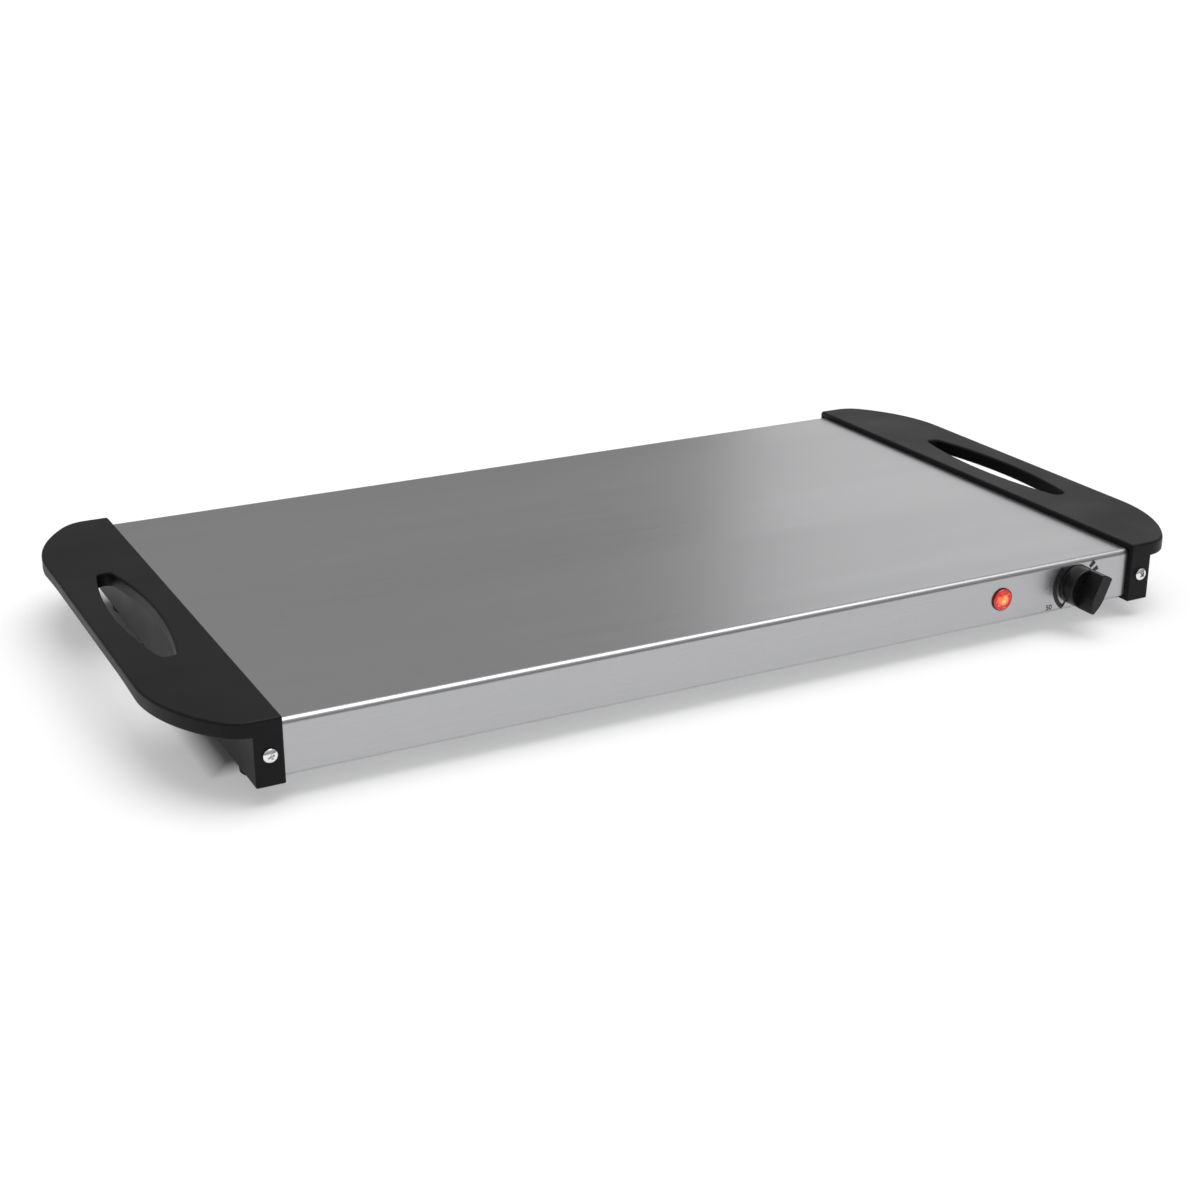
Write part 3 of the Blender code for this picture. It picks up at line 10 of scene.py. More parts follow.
import bmesh
import bpy
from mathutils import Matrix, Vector


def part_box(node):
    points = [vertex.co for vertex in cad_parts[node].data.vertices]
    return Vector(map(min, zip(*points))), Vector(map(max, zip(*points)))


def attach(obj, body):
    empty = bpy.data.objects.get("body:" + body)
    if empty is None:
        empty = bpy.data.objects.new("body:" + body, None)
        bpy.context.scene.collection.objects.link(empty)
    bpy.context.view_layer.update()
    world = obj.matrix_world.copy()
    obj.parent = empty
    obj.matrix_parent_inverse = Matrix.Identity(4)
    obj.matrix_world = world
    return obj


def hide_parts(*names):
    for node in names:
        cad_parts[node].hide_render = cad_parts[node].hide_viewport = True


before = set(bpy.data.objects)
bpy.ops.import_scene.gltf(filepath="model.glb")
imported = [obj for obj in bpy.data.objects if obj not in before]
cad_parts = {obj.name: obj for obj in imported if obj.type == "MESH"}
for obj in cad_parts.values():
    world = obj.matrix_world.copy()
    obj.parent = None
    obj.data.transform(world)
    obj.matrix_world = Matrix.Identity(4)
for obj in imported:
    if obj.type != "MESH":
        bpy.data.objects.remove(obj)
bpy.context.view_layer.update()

tray_low, tray_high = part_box("top_tray")
MIDDLE_Y = (tray_low.y + tray_high.y) / 2
print("solids", len(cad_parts), "middle of the tray at y", round(MIDDLE_Y, 5))

# %% [markdown]
# ## Helpers: picking, and giving a mesh its place
# An operator acts on whatever is selected. One helper therefore deselects everything and enters
# edit mode, and another selects points, edges or faces by a rule about their place or direction.
# A primitive keeps its place in its object, so the place is applied to the mesh straight away.

# %% Picking helpers
def clear():
    """Deselects every object, as before a new one is added."""
    bpy.ops.object.select_all(action="DESELECT")


def only(piece):
    """Selects one piece and makes it active."""
    clear()
    piece.select_set(True)
    bpy.context.view_layer.objects.active = piece
    return piece


def edit(piece):
    """Opens one piece in edit mode, ready to select points."""
    only(piece)
    bpy.ops.object.mode_set(mode="EDIT")
    bpy.ops.mesh.select_mode(type="VERT")


def whole(piece):
    """Opens one piece in edit mode with all of it selected."""
    edit(piece)
    bpy.ops.mesh.select_all(action="SELECT")


def leave():
    """Goes back to object mode."""
    bpy.ops.object.mode_set(mode="OBJECT")


def pick(kind, chosen):
    """Selects the points, edges or faces in edit mode that a rule accepts."""
    bpy.ops.mesh.select_mode(type=kind)
    bpy.ops.mesh.select_all(action="DESELECT")
    mesh = bpy.context.edit_object.data
    shape = bmesh.from_edit_mesh(mesh)
    found = {"VERT": shape.verts, "EDGE": shape.edges, "FACE": shape.faces}[kind]
    count = 0
    for element in found:
        if chosen(element):
            element.select_set(True)
            count += 1
    shape.select_flush_mode()
    bmesh.update_edit_mesh(mesh)
    return count


def fresh(name):
    """Names the primitive just added and moves its place into its mesh."""
    piece = bpy.context.object
    piece.name = name
    piece.data.name = name
    only(piece)
    bpy.ops.object.transform_apply(location=True, rotation=True, scale=True)
    return piece


def stand(piece, turn=(0, 0, 0), at=(0, 0, 0)):
    """Turns a finished mesh about the origin, moves it, and applies both."""
    only(piece)
    piece.rotation_euler = turn
    piece.location = at
    bpy.ops.object.transform_apply(location=True, rotation=True, scale=True)
    return piece


def twin(piece, name):
    """A copy of a piece with a mesh of its own."""
    only(piece)
    bpy.ops.object.duplicate(linked=False)
    made = bpy.context.object
    made.name = name
    made.data.name = name
    return made


# %% [markdown]
# ## Helpers: lines, flat solids and turned solids
# Moulds and pressed sheets start as drawn outlines. A line is drawn as by hand: a plane is merged
# to one point, the point is extruded along the straight runs and spun round the corners.
# A closed outline becomes a flat curve, whose extrude and bevel values make a plate with rounded
# edges. A half profile is spun right round to make a turned piece.

# %% Drawing helpers
WELD = 1e-6


def trace(name, start, moves, axis=(0, 0, 1)):
    """A line from a point: each move is a run by a vector, or a turn (centre, angle, steps)."""
    clear()
    bpy.ops.mesh.primitive_plane_add(size=0.001, location=start)
    line = fresh(name)
    edit(line)
    bpy.ops.mesh.merge(type="CENTER")
    for move in moves:
        if isinstance(move, Vector):
            bpy.ops.mesh.extrude_vertices_move(TRANSFORM_OT_translate={"value": move})
        else:
            centre, angle, steps = move
            bpy.ops.mesh.spin(steps=steps, angle=-angle, center=centre, axis=axis)
    leave()
    return line


def mirror_line(line, flip):
    """Adds the mirror image of a half outline and welds the two where they meet."""
    whole(line)
    bpy.ops.mesh.duplicate()
    bpy.ops.transform.resize(value=flip, center_override=(0, 0, 0))
    bpy.ops.mesh.select_all(action="SELECT")
    bpy.ops.mesh.remove_doubles(threshold=WELD)
    leave()
    return line


def flat_solid(lines, low, high, rounding=0.0, steps=1):
    """A plate between two heights, inside the first outline and outside the others."""
    only(lines[0])
    for line in lines:
        line.select_set(True)
    bpy.ops.object.join()
    bpy.ops.object.convert(target="CURVE")
    outline = bpy.context.object.data
    outline.dimensions = "2D"
    outline.fill_mode = "BOTH"
    outline.extrude = (high - low) / 2 - rounding
    outline.bevel_depth = rounding
    outline.bevel_resolution = steps - 1
    outline.offset = -rounding
    for spline in outline.splines:
        spline.use_cyclic_u = True
    bpy.ops.object.convert(target="MESH")
    piece = stand(bpy.context.object, at=(0, 0, (low + high) / 2))
    return tidy(piece)


def tidy(piece):
    """Welds doubled points and turns every face outwards, so that the volume is positive."""
    whole(piece)
    bpy.ops.mesh.remove_doubles(threshold=WELD)
    bpy.ops.mesh.normals_make_consistent(inside=False)
    if bmesh.from_edit_mesh(piece.data).calc_volume(signed=True) < 0:
        bpy.ops.mesh.flip_normals()
    leave()
    return piece


def profile(name, points):
    """Half a turned piece's section: (radius, height, rounding) for each corner, in the XZ plane."""
    places = [Vector((radius, 0, height)) for radius, height, rounding in points]
    line = trace(name, places[0], [after - before for before, after in zip(places, places[1:])])
    edit(line)
    for place, (_, _, rounding) in zip(places, points):
        if rounding:
            pick("VERT", lambda vert, place=place: (vert.co - place).length < WELD)
            bpy.ops.mesh.bevel(offset=rounding, segments=6, affect="VERTICES")
    leave()
    return line


def spun(line, steps):
    """Spins a half profile, drawn in the XZ plane, once round the Z axis."""
    whole(line)
    bpy.ops.mesh.spin(
        steps=steps, angle=2 * math.pi, center=(0, 0, 0), axis=(0, 0, 1),
        use_auto_merge=True)
    leave()
    return tidy(line)


def bevel(size, steps):
    """Rounds the selected edges."""
    bpy.ops.mesh.bevel(offset=size, segments=steps, profile=0.5, affect="EDGES", offset_type="OFFSET")


def thicken(piece, wall):
    """Turns an open sheet's faces up and outwards, and gives it a wall on their inner side."""
    whole(piece)
    bpy.ops.mesh.normals_make_consistent(inside=False)
    faces = bmesh.from_edit_mesh(piece.data).faces
    if sum(face.normal.z * face.calc_area() for face in faces) < 0:
        bpy.ops.mesh.flip_normals()
    leave()
    bpy.ops.object.modifier_add(type="SOLIDIFY")
    change = piece.modifiers[-1]
    change.thickness = wall
    change.offset = -1
    change.use_even_offset = True
    bpy.ops.object.modifier_apply(modifier=change.name)


def joined_by(piece, tool, way):
    """Applies a Boolean between a piece and a tool, and removes the tool."""
    only(piece)
    bpy.ops.object.modifier_add(type="BOOLEAN")
    change = piece.modifiers[-1]
    change.operation = way
    change.solver = "EXACT"
    change.object = tool
    bpy.ops.object.modifier_apply(modifier=change.name)
    bpy.data.objects.remove(tool, do_unlink=True)
    return piece


def cut(piece, tool):
    """Takes a tool out of a piece."""
    return joined_by(piece, tool, "DIFFERENCE")


def add(piece, tool):
    """Welds a tool to a piece."""
    return joined_by(piece, tool, "UNION")


def box(name, low, high):
    """A block between two corners, for cutting or joining."""
    low, high = Vector(low), Vector(high)
    clear()
    bpy.ops.mesh.primitive_cube_add(size=1, location=(low + high) / 2, scale=high - low)
    return fresh(name)


def rod(name, radius, start, end, sides=32):
    """A round bar between two points, for cutting or joining."""
    start, end = Vector(start), Vector(end)
    way = end - start
    clear()
    bpy.ops.mesh.primitive_cylinder_add(
        vertices=sides, radius=radius, depth=way.length, location=(start + end) / 2,
        rotation=way.to_track_quat("Z", "Y").to_euler())
    return fresh(name)


# %% [markdown]
# ## Helper: shading
# Large flat faces beside small round edges shade badly when their normals are averaged.
# The edges sharper than a limit stay sharp, and a Weighted Normal modifier then lets the big face
# rule, so the flat steel reflects like a sheet and the small radius takes all the curvature.

# %% Shading helper
pieces = []


def dress(piece, body, finish, replaces=(), angle=32, weighted=True):
    """Shades a finished piece, gives it its material and hands it to its body."""
    only(piece)
    bpy.ops.object.shade_smooth_by_angle(angle=math.radians(angle))
    if weighted:
        bpy.ops.object.modifier_add(type="WEIGHTED_NORMAL")
        change = piece.modifiers[-1]
        change.keep_sharp = True
        change.weight = 80
        bpy.ops.object.modifier_apply(modifier=change.name)
    piece.data.materials.clear()
    piece.data.materials.append(finish)
    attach(piece, body)
    if replaces:
        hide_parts(*replaces)
    pieces.append(piece)
    print(piece.name, len(piece.data.vertices), "points", len(piece.data.polygons), "faces")
    return piece


# %% [markdown]
# ## Finishes: the node helpers
# Each finish is a Principled shader fed by patterns on Object coordinates, which stay on the
# piece in every view. A helper places a noise with its own stretch, one picks a number
# between two limits from it, one picks a colour, and one turns it into relief. Plain finishes, whose
# colour and roughness follow one noise together, are made by one more helper.

# %% Finish helpers
def new_finish(name, colour, roughness, metallic=0.0):
    """A material whose Principled shader has these starting values."""
    made = bpy.data.materials.new(name)
    made.use_nodes = True
    fix(made, "Base Color", (*colour, 1))
    fix(made, "Roughness", roughness)
    fix(made, "Metallic", metallic)
    return made


def shader_of(made):
    """The Principled shader of a material."""
    return made.node_tree.nodes["Principled BSDF"]


def noise(made, stretch, detail=3.0, rough=0.5):
    """Noise on Object coordinates; stretch is its count per metre, even or along X, Y and Z."""
    stretch = (stretch,) * 3 if isinstance(stretch, float) else stretch
    tree = made.node_tree
    place = tree.nodes.new("ShaderNodeTexCoord")
    turn = tree.nodes.new("ShaderNodeMapping")
    turn.inputs["Scale"].default_value = stretch
    grain = tree.nodes.new("ShaderNodeTexNoise")
    grain.inputs["Scale"].default_value = 1.0
    grain.inputs["Detail"].default_value = detail
    grain.inputs["Roughness"].default_value = rough
    tree.links.new(place.outputs["Object"], turn.inputs["Vector"])
    tree.links.new(turn.outputs["Vector"], grain.inputs["Vector"])
    return grain.outputs["Fac"]


def between(made, value, low, high, start=0.3, end=0.7):
    """Maps a pattern to a number between two limits."""
    step = made.node_tree.nodes.new("ShaderNodeMapRange")
    step.inputs["From Min"].default_value = start
    step.inputs["From Max"].default_value = end
    step.inputs["To Min"].default_value = low
    step.inputs["To Max"].default_value = high
    made.node_tree.links.new(value, step.inputs["Value"])
    return step.outputs["Result"]


def tint(made, value, dark, pale, start=0.3, end=0.7):
    """Maps a pattern to a colour between two colours."""
    step = made.node_tree.nodes.new("ShaderNodeMix")
    step.data_type = "RGBA"
    step.inputs["A"].default_value = (*dark, 1)
    step.inputs["B"].default_value = (*pale, 1)
    made.node_tree.links.new(between(made, value, 0, 1, start, end), step.inputs["Factor"])
    return step.outputs["Result"]


def relief(made, height, depth, strength=1.0, under=None):
    """Turns a pattern into a bump of a real depth, on top of another bump where one is given."""
    step = made.node_tree.nodes.new("ShaderNodeBump")
    step.inputs["Strength"].default_value = strength
    step.inputs["Distance"].default_value = depth
    made.node_tree.links.new(height, step.inputs["Height"])
    if under is not None:
        made.node_tree.links.new(under, step.inputs["Normal"])
    return step.outputs["Normal"]


def feed(made, socket, value):
    """Links a pattern to a socket of the Principled shader."""
    made.node_tree.links.new(value, shader_of(made).inputs[socket])


def fix(made, socket, value):
    """Writes a plain value in a socket of the Principled shader."""
    shader_of(made).inputs[socket].default_value = value


def maths(made, operation, *values):
    """One Math node: a pattern is linked to it, and a plain number is written in it."""
    step = made.node_tree.nodes.new("ShaderNodeMath")
    step.operation = operation
    for socket, value in zip(step.inputs, values):
        if isinstance(value, bpy.types.NodeSocket):
            made.node_tree.links.new(value, socket)
        else:
            socket.default_value = value
    return step.outputs["Value"]


def mottled(name, metallic, stretch, detail, rough, dark, pale, smooth, dull):
    """A finish whose colour and roughness follow one noise together."""
    made = new_finish(name, pale, dull, metallic)
    cloud = noise(made, stretch, detail, rough)
    feed(made, "Base Color", tint(made, cloud, dark, pale))
    feed(made, "Roughness", between(made, cloud, smooth, dull))
    return made


# %% [markdown]
# ## Finish: brushed stainless steel
# The sheet is brushed along its length. Fine scratches are a noise squeezed across the sheet and
# stretched along it; they change the colour, the roughness and a very shallow relief a little.
# A wider noise mixes in some longer streaks, and a third gives the cloudy bands that the brushing
# belt leaves.

# %% Brushed steel
steel = new_finish("brushed_stainless", (0.46, 0.46, 0.47), 0.32, 1.0)
scratches = noise(steel, (90.0, 3600.0, 3600.0), 4.0, 0.6)
bands = noise(steel, (1.6, 36.0, 36.0), 3.0, 0.55)
streaks = noise(steel, (16.0, 1100.0, 1100.0), 2.0, 0.5)
STREAK_SHARE = 0.30
brushing = maths(steel, "ADD", maths(steel, "MULTIPLY", scratches, 1 - STREAK_SHARE),
                 maths(steel, "MULTIPLY", streaks, STREAK_SHARE))
feed(steel, "Base Color", tint(steel, brushing, (0.415, 0.417, 0.428), (0.462, 0.462, 0.470)))
scratched_rough = between(steel, brushing, 0.28, 0.34)
banded_rough = between(steel, bands, -0.02, 0.02)
feed(steel, "Roughness", maths(steel, "ADD", scratched_rough, banded_rough))
feed(steel, "Normal", relief(steel, brushing, 0.00002, 0.35))

# %% [markdown]
# ## Finish: the other metals
# The cover is plated mild steel, duller and without a brushed grain. Screws and nuts are bright
# plated, nearly a mirror with a little haze. The spreader is rolled aluminium with a faint
# rolling direction, and the element's sheath is oxidised by heat in patches of straw and blue.

# %% Other metals
cover_steel = mottled(
    "plated_cover", 1.0, 45.0, 4.0, 0.6, (0.44, 0.45, 0.46), (0.54, 0.55, 0.56), 0.38, 0.52)
plate_grain = noise(cover_steel, 2500.0)
feed(cover_steel, "Normal", relief(cover_steel, plate_grain, 0.00002, 0.3))
plating = mottled(
    "bright_plating", 1.0, 900.0, 3.0, 0.6, (0.74, 0.74, 0.75), (0.86, 0.86, 0.86), 0.10, 0.24)
aluminium = mottled(
    "rolled_aluminium", 1.0, (12.0, 900.0, 900.0), 3.0, 0.55,
    (0.64, 0.64, 0.65), (0.74, 0.74, 0.75), 0.32, 0.46)
sheath = mottled(
    "heated_sheath", 1.0, 38.0, 4.0, 0.6, (0.13, 0.12, 0.13), (0.27, 0.21, 0.15), 0.42, 0.60)
brass = mottled(
    "brass", 1.0, 420.0, 4.0, 0.6, (0.50, 0.36, 0.15), (0.66, 0.50, 0.24), 0.26, 0.44)

# %% [markdown]
# ## Finish: the black plastics
# The handles are moulded in a spark-eroded tool, so they are matte with a very fine even grain and
# slightly polished by hands in broad patches. The knob is harder and smoother, and the feet are
# dull rubber. None is a pure black. Both plastics get a lower specular level than clear plastic,
# which stands for the shine that their fine grain swallows.

# %% Black plastics
moulding = new_finish("black_moulding", (0.007, 0.007, 0.008), 0.46)
handled = noise(moulding, 22.0, 3.0, 0.5)
eroded = noise(moulding, 2600.0, 2.0, 0.5)
feed(moulding, "Base Color", tint(moulding, eroded, (0.0050, 0.0050, 0.0056), (0.0080, 0.0080, 0.0090)))
feed(moulding, "Roughness", between(moulding, handled, 0.44, 0.53))
feed(moulding, "Normal", relief(moulding, eroded, 0.00003, 0.35))
fix(moulding, "Specular IOR Level", 0.16)

knob_black = new_finish("black_knob", (0.008, 0.008, 0.009), 0.30)
knob_cloud = noise(knob_black, 140.0, 3.0, 0.5)
knob_grain = noise(knob_black, 3600.0, 2.0, 0.5)
knob_colour = tint(knob_black, knob_grain, (0.0060, 0.0060, 0.0068), (0.0100, 0.0100, 0.0110))
feed(knob_black, "Base Color", knob_colour)
feed(knob_black, "Roughness", between(knob_black, knob_cloud, 0.24, 0.33))
fix(knob_black, "Specular IOR Level", 0.28)
feed(knob_black, "Normal", relief(knob_black, knob_grain, 0.00002, 0.25))

rubber = mottled(
    "foot_rubber", 0.0, 260.0, 4.0, 0.6,
    (0.024, 0.024, 0.025), (0.040, 0.040, 0.041), 0.68, 0.84)
feed(rubber, "Normal", relief(rubber, noise(rubber, 1800.0), 0.00004, 0.4))
nylon = mottled(
    "black_nylon", 0.0, 300.0, 3.0, 0.5,
    (0.026, 0.026, 0.028), (0.036, 0.036, 0.038), 0.36, 0.48)

# %% [markdown]
# ## Finish: ceramic, fibre, glass and printing ink
# Steatite parts are cream with a dry glaze. The mat is pressed mineral fibre, so its surface is a
# coarse felt. The little neon bulb glows orange. The scale's ink is dense black, screen printed,
# with a slightly uneven film.

# %% Inner finishes and ink
ceramic = mottled(
    "steatite", 0.0, 800.0, 4.0, 0.6, (0.74, 0.71, 0.63), (0.85, 0.82, 0.75), 0.36, 0.52)

fibre = new_finish("fibre_mat", (0.78, 0.76, 0.70), 0.95)
felt = noise(fibre, 900.0, 5.0, 0.65)
felt_cloud = noise(fibre, 60.0, 3.0, 0.5)
feed(fibre, "Base Color", tint(fibre, felt_cloud, (0.70, 0.68, 0.61), (0.82, 0.80, 0.74)))
feed(fibre, "Roughness", between(fibre, felt, 0.88, 0.98))
feed(fibre, "Normal", relief(fibre, felt, 0.0003, 0.8))

bulb_glass = new_finish("bulb_glass", (0.95, 0.45, 0.15), 0.08)
bulb_glow = noise(bulb_glass, 700.0, 3.0, 0.5)
glow_colour = tint(bulb_glass, bulb_glow, (0.95, 0.30, 0.06), (1.0, 0.55, 0.18))
feed(bulb_glass, "Base Color", glow_colour)
feed(bulb_glass, "Emission Color", glow_colour)
fix(bulb_glass, "Emission Strength", 1.2)

ink = mottled(
    "scale_ink", 0.0, 1500.0, 3.0, 0.6,
    (0.009, 0.009, 0.010), (0.018, 0.018, 0.019), 0.40, 0.55)
print("finishes", len(bpy.data.materials))

# %% [markdown]
# ## Finish: the red lens
# The lens is clear red plastic over a glowing neon. The neon's glow through it is painted into the lens's
# colour and emission: its middle is painted orange to yellow and broken into facets, while its rim stays
# deep red. The distance from the lamp's axis chooses the colour, and a cell pattern inside it breaks the
# painted glow up as the facets do.

# %% Red lens finish
LAMP_X = 0.1616
CONTROL_Z = 0.0262
LENS_RADIUS = 0.0065
red_lens = new_finish("red_lens", (0.75, 0.04, 0.02), 0.14)
lens_tree = red_lens.node_tree
lens_place = lens_tree.nodes.new("ShaderNodeTexCoord")
lens_centre = lens_tree.nodes.new("ShaderNodeMapping")
lens_centre.inputs["Location"].default_value = (-LAMP_X / LENS_RADIUS, 0, -CONTROL_Z / LENS_RADIUS)
lens_centre.inputs["Scale"].default_value = (1 / LENS_RADIUS, 0, 1 / LENS_RADIUS)
lens_tree.links.new(lens_place.outputs["Object"], lens_centre.inputs["Vector"])
lens_far = lens_tree.nodes.new("ShaderNodeVectorMath")
lens_far.operation = "LENGTH"
lens_tree.links.new(lens_centre.outputs["Vector"], lens_far.inputs[0])
lens_cells = lens_tree.nodes.new("ShaderNodeTexVoronoi")
lens_cells.inputs["Scale"].default_value = 3.4
lens_tree.links.new(lens_centre.outputs["Vector"], lens_cells.inputs["Vector"])
CELL_SHARE = 0.55
# Painted glow: the neon's light through the lens, yellow in the middle to deep red at the rim, in both
# colour and emission.
painted_glow_level = maths(
    red_lens, "MULTIPLY_ADD", lens_cells.outputs["Distance"], CELL_SHARE, lens_far.outputs["Value"])
lens_ramp = lens_tree.nodes.new("ShaderNodeValToRGB")
lens_shades = lens_ramp.color_ramp.elements
painted_glow_colours = [
    (0.12, (1.0, 0.72, 0.22, 1)), (0.52, (0.95, 0.24, 0.045, 1)),
    (0.80, (0.86, 0.065, 0.03, 1)), (1.0, (0.46, 0.012, 0.008, 1))]
for number, (position, colour) in enumerate(painted_glow_colours):
    shade = lens_shades[number] if number < 2 else lens_shades.new(position)
    shade.position = position
    shade.color = colour
lens_tree.links.new(painted_glow_level, lens_ramp.inputs["Fac"])
feed(red_lens, "Base Color", lens_ramp.outputs["Color"])
feed(red_lens, "Emission Color", lens_ramp.outputs["Color"])
fix(red_lens, "Emission Strength", 0.55)
fix(red_lens, "Coat Weight", 0.6)
fix(red_lens, "Coat Roughness", 0.06)

# %% [markdown]
# ## The folded tray
# The tray is one sheet, folded over a form: top, two faces and two return flanges, open at its
# ends where the handles cover it. It could be bent from a flat plane, but starting from a block is
# simpler: its ends are removed, a strip of its bottom is cut out, and its four long edges are
# bevelled to the radius of the fold. Solidify then gives the shell the sheet's thickness.

# %% Fold the tray
SHEET = 0.0006
FOLD = 0.0033
HEM = 0.0014
RETURN = 0.0105
tray_size = tray_high - tray_low
half_x, half_y = tray_size.x / 2, tray_size.y / 2
folded_low = 0.0125
tray = box("tray_sheet", (-half_x, -half_y, folded_low), (half_x, half_y, tray_high.z))
edit(tray)
pick("FACE", lambda face: abs(face.normal.x) > 0.9)
bpy.ops.mesh.delete(type="ONLY_FACE")
for side in (-1, 1):
    bpy.ops.mesh.select_mode(type="VERT")
    bpy.ops.mesh.select_all(action="SELECT")
    bpy.ops.mesh.bisect(
        plane_co=(0, side * (half_y - RETURN), 0), plane_no=(0, 1, 0))
pick("FACE", lambda face: face.calc_center_median().z < folded_low + FOLD
     and abs(face.calc_center_median().y) < half_y - RETURN - FOLD)
bpy.ops.mesh.delete(type="FACE")
print("faces left", len(bmesh.from_edit_mesh(tray.data).faces))
leave()

# %% [markdown]
# The bisect above also split the top, so its two extra lines are dissolved before the bevel. The
# folds at the top are wide, and the hems at the bottom are tight. The sheet is open, so the bevelled
# faces are turned to point outwards before Solidify gives it its thickness inwards.

# %% Round the folds
def long_edges(height):
    """Selects the two long outer edges of the block that lie at a height."""
    pick("EDGE", lambda edge: abs(abs(edge.verts[0].co.y) - half_y) < WELD
         and abs(edge.verts[0].co.z - height) < WELD
         and abs(edge.verts[0].co.x - edge.verts[1].co.x) > half_x)


edit(tray)
pick("EDGE", lambda edge: abs(abs(edge.verts[0].co.y) - (half_y - RETURN)) < WELD
     and edge.verts[0].co.z > tray_high.z - FOLD
     and abs(edge.verts[0].co.y - edge.verts[1].co.y) < WELD)
bpy.ops.mesh.dissolve_edges(use_verts=True)
long_edges(folded_low)
bevel(HEM, 6)
long_edges(tray_high.z)
bevel(FOLD, 10)
leave()
thicken(tray, SHEET)
print("tray", [round(value * 1000, 2) for value in tray.dimensions])

# %% [markdown]
# The holes are punched: lamp, knob bush and screws in the front, gland and earth screw in the
# back, and the small ones in the flanges. The studs that hold the clamp bars are welded below.

# %% Punch the holes and weld the studs
KNOB_X = 0.2134
GLAND_X = 0.190
EARTH_X = 0.128
SCREW_X = 0.2572
SCREW_Z = 0.0259
SCREW_HOLE = 0.0022
THROUGH = 0.003
punches = [
    ("lamp_hole", 0.0059, LAMP_X, -half_y, CONTROL_Z), ("bush_hole", 0.0050, KNOB_X, -half_y, CONTROL_Z),
    ("gland_hole", 0.0073, GLAND_X, half_y, CONTROL_Z), ("earth_hole", 0.0022, EARTH_X, half_y, CONTROL_Z)]
for side_x in (-1, 1):
    for side_y in (-1, 1):
        punches.append(("screw_hole", SCREW_HOLE, side_x * SCREW_X, side_y * half_y, SCREW_Z))
for name, radius, x, y, z in punches:
    cut(tray, rod(name, radius, (x, y - THROUGH, z), (x, y + THROUGH, z)))
FLANGE_HOLE_X, FLANGE_HOLE_INSET, FLANGE_HOLE = 0.215, 0.00655, 0.0015
flange_y = half_y - FLANGE_HOLE_INSET
base_places = [(step * FLANGE_HOLE_X, side * flange_y) for side in (-1, 1) for step in (-1, 0, 1)]
for x, y in base_places:
    cut(tray, rod("flange_hole", FLANGE_HOLE, (x, y, folded_low - THROUGH),
                  (x, y, folded_low + THROUGH), 24))
STUD_X, STUD_Y, STUD_RADIUS, STUD_PAST_NUT = 0.150, 0.064, 0.0020, 0.0012
stud_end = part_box("clamp_nut_1")[0].z - STUD_PAST_NUT
for step in (-1, 0, 1):
    for side in (-1, 1):
        x, y = step * STUD_X, side * STUD_Y
        add(tray, rod("stud", STUD_RADIUS, (x, y, stud_end), (x, y, tray_high.z - SHEET / 2), 24))
stand(tray, at=(0, MIDDLE_Y, 0))
dress(tray, "server", steel, ["top_tray"])

# %% [markdown]
# ## The handles
# Each end is one moulding: a plate with a rim, a finger slot with a collar round it, and an
# upright bracket that grips the end of the tray. Its edge is a long straight side that sweeps
# into the ends on a large arc and a small one, with a tight corner at the tray. The half outline
# is drawn with a spin for each and mirrored; the flat curve then gives plate and slot the same
# moulded edge radius in one step.

# %% Draw the handle's edge
INNER_X = 0.250
OUTER_X = 0.301
EDGE_Y = 0.1584
PLATE_TOP = tray_high.z + 0.0032
PLATE_UNDER = PLATE_TOP - 0.0029
RIM_UNDER = PLATE_TOP - 0.0085
SWEEP = 0.090
BLEND = 0.020
STRAIGHT = 0.092
SLOT_X = 0.276
MOULDED_EDGE = 0.0014
TRAY_CORNER = 0.0016


def handle_edge(name, inset, inner_x, corner):
    """The closed edge of a right-hand handle, moved inwards by an inset."""
    sweep, blend = SWEEP - inset, BLEND - inset
    outer, edge_y = OUTER_X - inset, EDGE_Y - inset
    sweep_centre = Vector((outer - sweep, STRAIGHT, 0))
    rise = edge_y - blend - STRAIGHT
    run = math.sqrt((sweep - blend) ** 2 - rise ** 2)
    blend_centre = sweep_centre + Vector((run, rise, 0))
    meet = math.atan2(rise, run)
    line = trace(name, (outer, 0, 0), [
        Vector((0, STRAIGHT, 0)),
        (sweep_centre, meet, 28),
        (blend_centre, math.pi / 2 - meet, 14),
        Vector((inner_x + corner - blend_centre.x, 0, 0)),
        (Vector((inner_x + corner, edge_y - corner, 0)), math.pi / 2, 6),
        Vector((0, corner - edge_y, 0))])
    return mirror_line(line, (1, -1, 1))


def slot_edge(name, margin):
    """The finger slot's edge: two long shallow arcs between two small round ends."""
    end_half, half_width, half_length = 0.0043, 0.0108, 0.0655
    straight = half_length - end_half
    radius = (straight ** 2 + half_width ** 2 - end_half ** 2) / (2 * (half_width - end_half))
    spread = math.atan2(straight, radius - half_width)
    centre = Vector((SLOT_X - radius + half_width, 0, 0))
    cap_centre = Vector((SLOT_X, straight, 0))
    start = (SLOT_X + half_width + margin, 0, 0)
    line = trace(name, start, [
        (centre, spread, 20), (cap_centre, math.pi - 2 * spread, 16),
        (Vector((SLOT_X + radius - half_width, 0, 0)), spread, 20)])
    return mirror_line(line, (1, -1, 1))


handle = flat_solid(
    [handle_edge("handle_moulding", 0, INNER_X, TRAY_CORNER), slot_edge("slot", 0)],
    RIM_UNDER, PLATE_TOP, MOULDED_EDGE, 5)
print("blank", [round(value * 1000, 2) for value in handle.dimensions])

# %% [markdown]
# The underside is hollow, as mouldings are: the cutter is the space between the rim, the collar
# and the cross ribs, so it is itself a plate with the collar and ribs taken out of it. It runs
# past the inner edge, because the bracket stands there.

